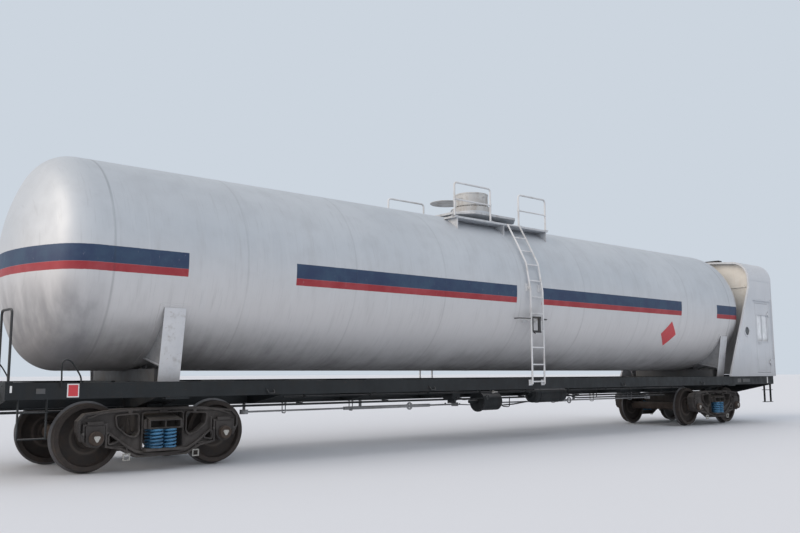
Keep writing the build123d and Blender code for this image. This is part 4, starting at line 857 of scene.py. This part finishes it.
def frame_castings(key, pivot):
    """Beads round the openings, bows along the chords, lugs and wear plates of the side frames."""
    shape, bright, eyes = Shape(), Shape(), Shape()
    face = frame_face
    bead(shape, pivot, spring_window, 0.014, 0.008)
    bow(shape, pivot, lower_bow, face + 0.008)
    bow(shape, pivot, upper_bow, face + 0.006)
    for s in (-1, 1):
        bead(shape, pivot, [(s * x, z) for x, z in large_opening], 0.016, 0.009)
        # friction wedge beside the bolster: (x from the pivot, height above the springs)
        wedge = [(0.222, 0), (0.266, 0), (0.266, 0.10), (0.234, 0.125)]
        shape.slab([(pivot + s * x, face - 0.03, spring_high + z) for x, z in wedge], (0, 0.14, 0))
        boss = [(0, 0.030), (0.016, 0.028), (0.020, 0.020)]
        shape.lathe((pivot + s * 0.44, face + 0.010, 0.757), NEAR, boss, 14)
        # pad over the pedestal, with the bolts of the bearing key
        x = pivot + s * half_base
        bright.bolts([(bolt_x, face - 0.0005, 0.505) for bolt_x in around(x, 0.15)], NEAR, 0.013)
        shape.box(around(x, 0.10), (face - 0.010, face + 0.03), (0.610, 0.650))
        shape.sweep([(x - 0.19, face + 0.004, 0.43), (x - 0.19, face + 0.004, 0.66)], [0.008, 0.014])
        # strap below the chord, an eye bracket at its foot, and a tie from the pedestal's foot
        x = pivot + s * 0.47
        strap = [(x, face + 0.012, 0.345), (x, face + 0.004, 0.29), (x - s * 0.01, face + 0.004, 0.235)]
        shape.rod(strap, 0.011, 0.03)
        eye = [(-0.04, 0.160), (0.04, 0.160), (0.04, 0.235), (-0.04, 0.235)]
        eyes.sweep([(x + dx, face + 0.004, z) for dx, z in eye], 0.013, 6, True)
        shape.sweep([(pivot + s * 0.70, face + 0.02, 0.335), (x, face + 0.02, 0.322)], 0.009)
    # spring seat and the pins beside the coils
    shape.box(around(pivot, 0.235), (face - 0.090, face - 0.02), (spring_low - 0.012, spring_low + 0.004))
    for x in (pivot - 0.175, pivot, pivot + 0.175):
        pin = [(0, 0.012), (0.006, 0.012), (0.006, 0.007), (0.014, 0.006)]
        shape.lathe((x, face - 0.092, spring_low - 0.005), NEAR, pin, 8)
    # centre plate's lug over the window
    shape.box(around(pivot, 0.05), (face - 0.014, face + 0.01), (0.744, 0.766))
    shape.mirrored()
    # brake hangers from the frames to the beams
    for s, y in product((-1, 1), (-0.83, 0.83)):
        shape.sweep([(pivot + s * 0.33, y, 0.42), (pivot + s * 0.38, y, 0.66)], 0.011)
    shape.make(f"bogie_{key}_castings", f"bogie_{key}", "bogie_cast", "bogie_cast", 0.002)
    bright.mirrored().make(f"bogie_{key}_bolts", f"bogie_{key}", "bare_steel", "bogie_cast")
    eyes.mirrored().make(f"bogie_{key}_eyes", f"bogie_{key}", "lock_plate", "bogie_cast")


def end_caps(key, number, x):
    """Ring and bright three-cornered lock plate with its bolts on each axle end."""
    cap, plate = Shape(), Shape()
    lock_r = 0.042
    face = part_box(f"axle_{key}{number}")[1][1]
    ring = [(0, 0.082), (0.004, 0.082), (0.006, 0.076), (0.006, 0.066), (0.002, 0.064), (0, 0.064)]
    for side in (-1, 1):
        axis = (0, side, 0)
        cap.lathe((x, side * (face - 0.002), axle_z), axis, ring, 32, True)
        rows = []
        for turn in (30, 150, 270):
            rows += arc((x, side * (face - 0.001), axle_z), lock_r, turn - 14, turn + 14, 2, (X, Z))
        plate.slab(rows, (0, side * 0.007, 0))
        plate.bolts(circle((x, side * (face + 0.006), axle_z), 0.6 * lock_r, 3, (X, Z), 30), axis, 0.008)
    cap.make(f"cap_rings_{key}{number}", f"wheelset_{key}{number}", "axle_steel", "axle_steel")
    plate.make(f"lock_plates_{key}{number}", f"wheelset_{key}{number}", "lock_plate", "axle_steel")


# Ends
def uncoupling_gear():
    """Lever rods across both ends, in brackets on the end sills."""
    shape = Shape()
    # lever at the -X end: (distance out from the end sill, y, z)
    lever = [(0.05, -1.30, 0.80), (0.05, -1.24, 1.00), (0.05, -0.34, 1.00), (0.15, -0.22, 1.05),
             (0.15, -0.02, 1.05)]
    for end in (-1, 1):
        shape.rod([(end * (end_x + out), -end * y, z) for out, y, z in lever], 0.012, 0.05)
        for y in (-1.15, -0.45):
            shape.box(sorted((end * end_x, end * (end_x + 0.07))), around(-end * y, 0.012), (0.975, 1.025))
    shape.make("uncoupling_rods", "car", "frame_paint", "frame_paint", 0.001)


def end_rivets():
    """Rivets round the striker castings and along the end sills."""
    shape = Shape()
    large = [(0, 0.014), (0.005, 0.012), (0.009, 0.006)]
    small = [(0, 0.012), (0.004, 0.011), (0.007, 0.005)]
    for end in (-1, 1):
        for y, z in product((-0.195, 0.195), (0.787, 0.867, 0.947, 1.027)):
            shape.lathe((end * (end_x + 0.059), y, z), (end, 0, 0), large, 10)
        for y in (-1.32 + 0.24 * i for i in range(12)):
            if abs(y) > 0.3:
                shape.lathe((end * (end_x - 0.001), y, 1.10), (end, 0, 0), small, 8)
    shape.make("end_rivets", "car", "frame_paint", "frame_paint")


def deck_trim():
    """Feet of the end handrails with their bolts."""
    shape = Shape()
    x, foot_top = -8.955, sill_top + 0.016
    for y in (0.99, 1.39):
        shape.box(around(x, 0.04), around(y, 0.04), (sill_top + 0.008, foot_top))
        shape.bolts([(bolt_x, y + 0.026, foot_top) for bolt_x in around(x, 0.03)], Z, 0.006)
    shape.mirrored().make("deck_trim", "car", "black_rail", "black_rail", 0.001)


# Cabin
door_low, door_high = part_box("cabin_door_near")
wall_y = -1.52


def window_frame(shape, wide, across, up, thick, on_end=False):
    """Flat frame round a window in a side wall, or in an end wall."""
    tall = (up[0] - wide, up[1] + wide)
    for a, z in (((across[0] - wide, across[0]), tall), ((across[1], across[1] + wide), tall),
                 (across, (up[0] - wide, up[0])), (across, (up[1], up[1] + wide))):
        shape.box(*((thick, a, z) if on_end else (a, thick, z)))


def door_trim(side_name, side):
    """Window frame, mullion and kick plate on a door."""
    shape = Shape()
    x, y, z = (pane_low[0], pane_high[0]), wall_y, (pane_low[2], pane_high[2])
    window_frame(shape, 0.022, x, z, (y - 0.008, y + 0.002))
    shape.box(around((x[0] + x[1]) / 2, 0.011), (y - 0.004, y + 0.03), z)
    kick_z = (door_low[2] + 0.05, door_low[2] + 0.33)
    shape.box((door_low[0] + 0.05, door_high[0] - 0.11), (y - 0.004, y + 0.001), kick_z)
    if side > 0:
        shape.verts = [(x, -y, z) for x, y, z in shape.verts]
    shape.make(f"door_trim_{side_name}", f"door_{side_name}", "cabin_paint", "cabin_paint", 0.0015)


def cabin_trim():
    """Gutters, seams, grab rails, porthole rims and roof vents."""
    shape, lens = Shape(), Shape()
    y, corner_x, eaves_z, foot_z = wall_y, 8.99, 3.47, 1.16
    # drip rail over the door, with a fall to the outside
    gutter = [(8.02, y, 2.975), (8.86, y, 2.975), (8.86, y - 0.028, 2.968), (8.02, y - 0.028, 2.968)]
    shape.slab(gutter, (0, 0, 0.008))
    # seam at the corner, seam below the eaves, and the foot angle
    for x, proud, z in (
        (corner_x - 0.03, 0.006, (foot_z, eaves_z)), (7.90, 0.004, (eaves_z - 0.005, eaves_z + 0.018)),
        (6.80, 0.006, (foot_z - 0.027, foot_z + 0.005)),
    ):
        shape.box((x, corner_x), (y - proud, y + 0.001), z)
    # grab rail behind the door
    shape.handle([(8.90, y + 0.002, z) for z in (1.55, 3.02)], (0, -0.040, 0), 0.011, 0.03, 0.01)
    # porthole with its rim, screws and glass
    x, z = 7.647, 2.211
    rim = [(-0.002, 0.098), (0.012, 0.098), (0.014, 0.104), (0.014, 0.128), (0.010, 0.134), (-0.002, 0.134)]
    shape.lathe((x, y, z), NEAR, rim, 32, True)
    shape.bolts(circle((x, y - 0.013, z), 0.118, 8, (X, Z)), NEAR, 0.006)
    lens.lathe((x, y + 0.012, z), NEAR, [(0, 0.101), (0.008, 0.101), (0.010, 0.06), (0.011, 0.02)], 32)
    shape.mirrored()
    # roof vents
    vent = [(0, 0.09), (0.03, 0.085), (0.03, 0.06), (0.05, 0.06), (0.05, 0.11), (0.062, 0.1), (0.074, 0.03)]
    for vent_x in (8.25, 8.68):
        shape.lathe((vent_x, 0.0, 3.99), Z, vent, 24)
    shape.make("cabin_trim", "car", "cabin_paint", "cabin_paint", 0.0012)
    lens.mirrored().make("porthole_glass", "car", "dark_glass", "pane")


def cabin_end_details():
    """Frame of the end window, two grab rails and stiffening ribs."""
    shape = Shape()
    low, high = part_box("cabin_panes")
    window_frame(shape, 0.03, (low[1], high[1]), (low[2], high[2]), (end_x - 0.002, end_x + 0.012), True)
    for y in (-1.25, 1.25):
        shape.handle([(end_x - 0.002, y, z) for z in (1.45, 2.77)], (0.052, 0, 0), 0.011, 0.03, 0.02)
    for y in (-0.95, -0.5, 0.5, 0.95):
        shape.box((end_x - 0.001, end_x + 0.014), around(y, 0.02), (1.20, 3.45))
    for z in (1.62, 3.08):
        shape.box((end_x - 0.001, end_x + 0.010), (-1.40, 1.40), around(z, 0.018))
    shape.make("cabin_end_details", "car", "cabin_paint", "cabin_paint", 0.002)


def front_wall_details():
    """Stiffener across the cabin's front wall above the tank's end, and a step on its roof."""
    rib, step = Shape(), Shape()
    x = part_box("cabin_bulkhead")[0][0]
    rib.box((x - 0.02, x + 0.001), (-1.38, 1.38), (3.30, 3.325))
    rib.make("front_wall_rib", "car", "front_wall", "cabin_paint", 0.002)
    low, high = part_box("cabin_roof")
    step.box((low[0] + 0.02, low[0] + 0.20), (-0.75, 0.75), (high[2] - 0.012, high[2] + 0.016))
    step.make("roof_step", "car", "black_rail", "cabin_paint", 0.003)


# Brake gear
rod_y, rod_z = -0.23, 0.661
cylinder_y, cylinder_z = -0.60, 0.717
reservoir_y, reservoir_r = -0.70, 0.150
reservoir_low, reservoir_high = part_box("air_reservoir")


def brake_details():
    """Bands, bosses, pins and pipes on the brake gear."""
    shape = Shape()
    y, r, x0 = reservoir_y, reservoir_r, reservoir_low[0]
    z = reservoir_low[2] + r
    band = [(-0.025, r - 0.002), (-0.025, r + 0.006), (0.025, r + 0.006), (0.025, r - 0.002)]
    for x in (x0 + 0.2, reservoir_high[0] - 0.2):
        shape.lathe((x, y, z), X, band, 40, True)
    shape.lathe((x0 + 0.012, y, z), (-1, 0, 0), [(0, 0.03), (0.02, 0.03), (0.02, 0.018), (0.05, 0.016)], 12)
    low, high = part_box("brake_cylinder")
    flange = circle((low[0] + 0.202, cylinder_y, cylinder_z), 0.172, 8, (Y, Z), 22.5)
    shape.bolts(flange, (-1, 0, 0), 0.011)
    # pipes from the control valve to the reservoir and under the centre sill, and from the cylinder's end
    valve_low, valve_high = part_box("control_valve")
    vx, vz = (valve_low[0] + valve_high[0]) / 2, valve_high[2] - 0.06
    pipe_x, pipe_z = high[0] + 0.10, cylinder_z + 0.05
    for path in (
        [(vx + 0.05, -0.60, vz), (vx + 0.18, -0.66, vz), (x0 - 0.15, -0.78, vz),
         (x0 + 0.02, -0.76, z + 0.02)],
        [(vx, -0.44, vz - 0.02), (vx, -0.36, vz - 0.05), (vx + 0.1, -0.33, 0.765)],
        [(high[0] - 0.01, cylinder_y, pipe_z), (high[0] + 0.08, cylinder_y, pipe_z),
         (pipe_x, cylinder_y - 0.05, vz), (pipe_x, -0.775, vz)],
    ):
        shape.rod(path, 0.012, 0.05)
    pins = [(x, y, rod_z + 0.008) for x, y in product((-1.15, -0.15), (cylinder_y, rod_y))]
    shape.bolts(pins, Z, 0.016, 0.02)
    shape.make("brake_fittings", "car", "frame_paint", "frame_paint", 0.001)


def rod_guides():
    """Straps that carry the brake rods below the centre sill, with eyes and turnbuckles on the rods."""
    shape = Shape()
    strap_top, strap_foot = sill_foot + 0.004, rod_z - 0.035
    for x in (-4.6, -3.3, 1.9, 3.2, 4.6):
        feet = [(x, y, strap_top) for y in around(rod_y, 0.045)]
        shape.handle(feet, (0, 0, strap_foot - strap_top), 0.008, 0.02)
        for y in around(rod_y, 0.045):
            shape.lathe((x, y, sill_foot + 0.001), DOWN, [(0, 0.018), (0.012, 0.018)], 6)
    turnbuckle = [(0, 0.014), (0.04, 0.026), (0.22, 0.026), (0.25, 0.018)]
    for x in (-2.03, 2.4):
        shape.sweep(circle((x, rod_y - 0.02, rod_z), 0.052, 24, (X, Z)), 0.016, closed=True)
        shape.lathe((x - 0.30, rod_y, rod_z), X, turnbuckle, 12)
    shape.make("rod_guides", "car", "rod_steel", "frame_paint")


def train_pipes():
    """Pipe along the near side with clips, its branch, a release rod with a handle, and a cock."""
    shape, cock = Shape(), Shape()
    y, z = -1.24, sill_low - 0.04
    shape.sweep([(-5.25, y, z), (5.2, y, z)], 0.013, 10)
    for i in range(9):
        shape.box(around(-4.9 + 1.2 * i, 0.012), around(y, 0.02), (z - 0.016, sill_low + 0.001))
    x, far_y = reservoir_high[0], reservoir_y - 0.10
    branch = [(x - 0.01, reservoir_y, 0.80), (x + 0.15, reservoir_y, 0.80), (x + 0.30, far_y, 0.73),
              (5.1, far_y, 0.73)]
    shape.sweep(bent(branch, 0.12), 0.014, 10)
    for x in (2.6, 3.8, 5.0):
        shape.sweep([(x, far_y, 0.73), (x, far_y, sill_low - 0.02)], 0.009)
    # release rod from the control valve out to the side sill, with its handle
    x = -1.28
    shape.rod([(x, -0.66, 0.80), (x, -0.80, 0.76), (x, -1.30, 0.80), (x, -1.40, 0.86)], 0.008, 0.06)
    shape.sweep(arc((x, -1.40, 0.82), 0.04, 90, 420, 22, (X, Z)), 0.007)
    # hanging lever and its guide by the cylinder
    lever = [(-0.02, -0.42, 0.60), (0.04, -0.42, 0.60), (0.03, -0.42, 0.80), (-0.01, -0.42, 0.80)]
    shape.slab(lever, (0, 0.014, 0))
    shape.sweep([(0.01, -0.41, 0.615), (0.55, -0.36, 0.63), (1.05, rod_y - 0.02, rod_z)], 0.012)
    guide = [(-0.48, sill_foot), (-0.48, 0.59), (-0.30, 0.59), (-0.245, 0.66), (-0.245, sill_foot)]
    shape.rod([(0.30, guide_y, guide_z) for guide_y, guide_z in guide], 0.009, 0.04)
    shape.make("train_pipes", "car", "frame_paint", "frame_paint")
    x = -0.98
    cock.lathe((x, y - 0.012, z), NEAR, [(0, 0.026), (0.02, 0.026), (0.03, 0.016), (0.05, 0.014)], 14)
    cock.box((x - 0.008, x + 0.075), (y - 0.06, y - 0.05), around(z, 0.01))
    cock.make("pipe_cock", "car", "lock_plate", "frame_paint", 0.001)


for build in (tank_seams, blank_sign, manway_bolts, guard_trim, valve_wheels, lid_trim, post_feet,
              ladder_fittings, sill_fittings, sill_plates, saddle_details):
    build()
for key, pivot in bogie_x.items():
    springs(key, pivot)
    frame_castings(key, pivot)
    for number, axle_x in zip("12", around(pivot, half_base)):
        end_caps(key, number, axle_x)
for side_name, side in (("near", -1), ("far", 1)):
    door_trim(side_name, side)
for build in (uncoupling_gear, end_rivets, deck_trim, cabin_trim, cabin_end_details, front_wall_details,
              brake_details, rod_guides, train_pipes):
    build()


# Stage, light and camera
def stage():
    """Pale floor out to the horizon."""
    reach = 400
    mesh = bpy.data.meshes.new("floor")
    corners = [(-reach, -reach, 0), (reach, -reach, 0), (reach, reach, 0), (-reach, reach, 0)]
    mesh.from_pydata(corners, [], [(0, 1, 2, 3)])
    floor = placed("floor", mesh)
    material = bpy.data.materials.new("floor_pale")
    material.use_nodes = True
    shader = material.node_tree.nodes["Principled BSDF"]
    shader.inputs["Base Color"].default_value = srgb(216, 220, 227)
    shader.inputs["Roughness"].default_value = 0.9
    shader.inputs["Specular IOR Level"].default_value = 0.1
    mesh.materials.append(material)


def sun(name, azimuth, height, strength, width, colour, shines):
    """Lamp far off at an azimuth from +X and a height in degrees; width is its angle in the sky."""
    lamp = bpy.data.lights.new(name, "SUN")
    lamp.energy = strength
    lamp.angle = radians(width)
    lamp.color = colour
    made = placed(name, lamp)
    turn, lift = radians(azimuth), radians(height)
    towards = -Vector((cos(lift) * cos(turn), cos(lift) * sin(turn), sin(lift)))
    made.rotation_euler = towards.to_track_quat("-Z", "Y").to_euler()
    made.visible_glossy = shines


def light():
    """Pale sky all round, a warm low sun off the -X end and a wide fill on the -Y flank."""
    world = bpy.data.worlds.new("sky")
    bpy.context.scene.world = world
    world.use_nodes = True
    tree = world.node_tree
    sky = tree.nodes["Background"]
    sky.inputs["Color"].default_value = (0.92, 0.95, 1.0, 1)
    sky.inputs["Strength"].default_value = 0.66
    # what the camera, reflections and glass see of the sky
    shown = tree.nodes.new("ShaderNodeBackground")
    shown.inputs["Color"].default_value = srgb(204, 213, 223)
    shown.inputs["Strength"].default_value = 1.0
    path = tree.nodes.new("ShaderNodeLightPath")
    seen = path.outputs["Is Camera Ray"]
    for other in ("Is Glossy Ray", "Is Transmission Ray"):
        either = tree.nodes.new("ShaderNodeMath")
        either.operation = "MAXIMUM"
        tree.links.new(seen, either.inputs[0])
        tree.links.new(path.outputs[other], either.inputs[1])
        seen = either.outputs[0]
    pick = tree.nodes.new("ShaderNodeMixShader")
    for source, socket in zip((seen, sky.outputs[0], shown.outputs[0]), pick.inputs):
        tree.links.new(source, socket)
    tree.links.new(pick.outputs[0], tree.nodes["World Output"].inputs[0])
    sun("low_sun", 171, 27, 1.75, 50, (1.0, 0.85, 0.70), True)
    sun("wide_fill", -110, 24, 0.95, 100, (1.0, 0.98, 0.97), False)


def camera():
    """Camera at the photograph's angle, worked out from the wheels, the sill and the tank."""
    image_width = 800
    focal_pixels = 830.6
    yaw, pitch, roll = radians(40.526), radians(7.304), radians(-0.152)
    place = Vector((-11.6999, -11.3164, 1.2322))
    ahead = Vector((sin(yaw) * cos(pitch), cos(yaw) * cos(pitch), sin(pitch)))
    level = Vector((cos(yaw), -sin(yaw), 0))
    above = level.cross(ahead)
    right = level * cos(roll) + above * sin(roll)
    up = above * cos(roll) - level * sin(roll)
    data = bpy.data.cameras.new("view")
    data.sensor_width = 36
    data.lens = focal_pixels / image_width * data.sensor_width
    data.clip_end = 1000
    made = placed("view", data)
    matrix = Matrix((right, up, -ahead)).transposed().to_4x4()
    matrix.translation = place
    made.matrix_world = matrix
    bpy.context.scene.camera = made


stage()
light()
camera()
bpy.context.scene.view_settings.view_transform = "Standard"
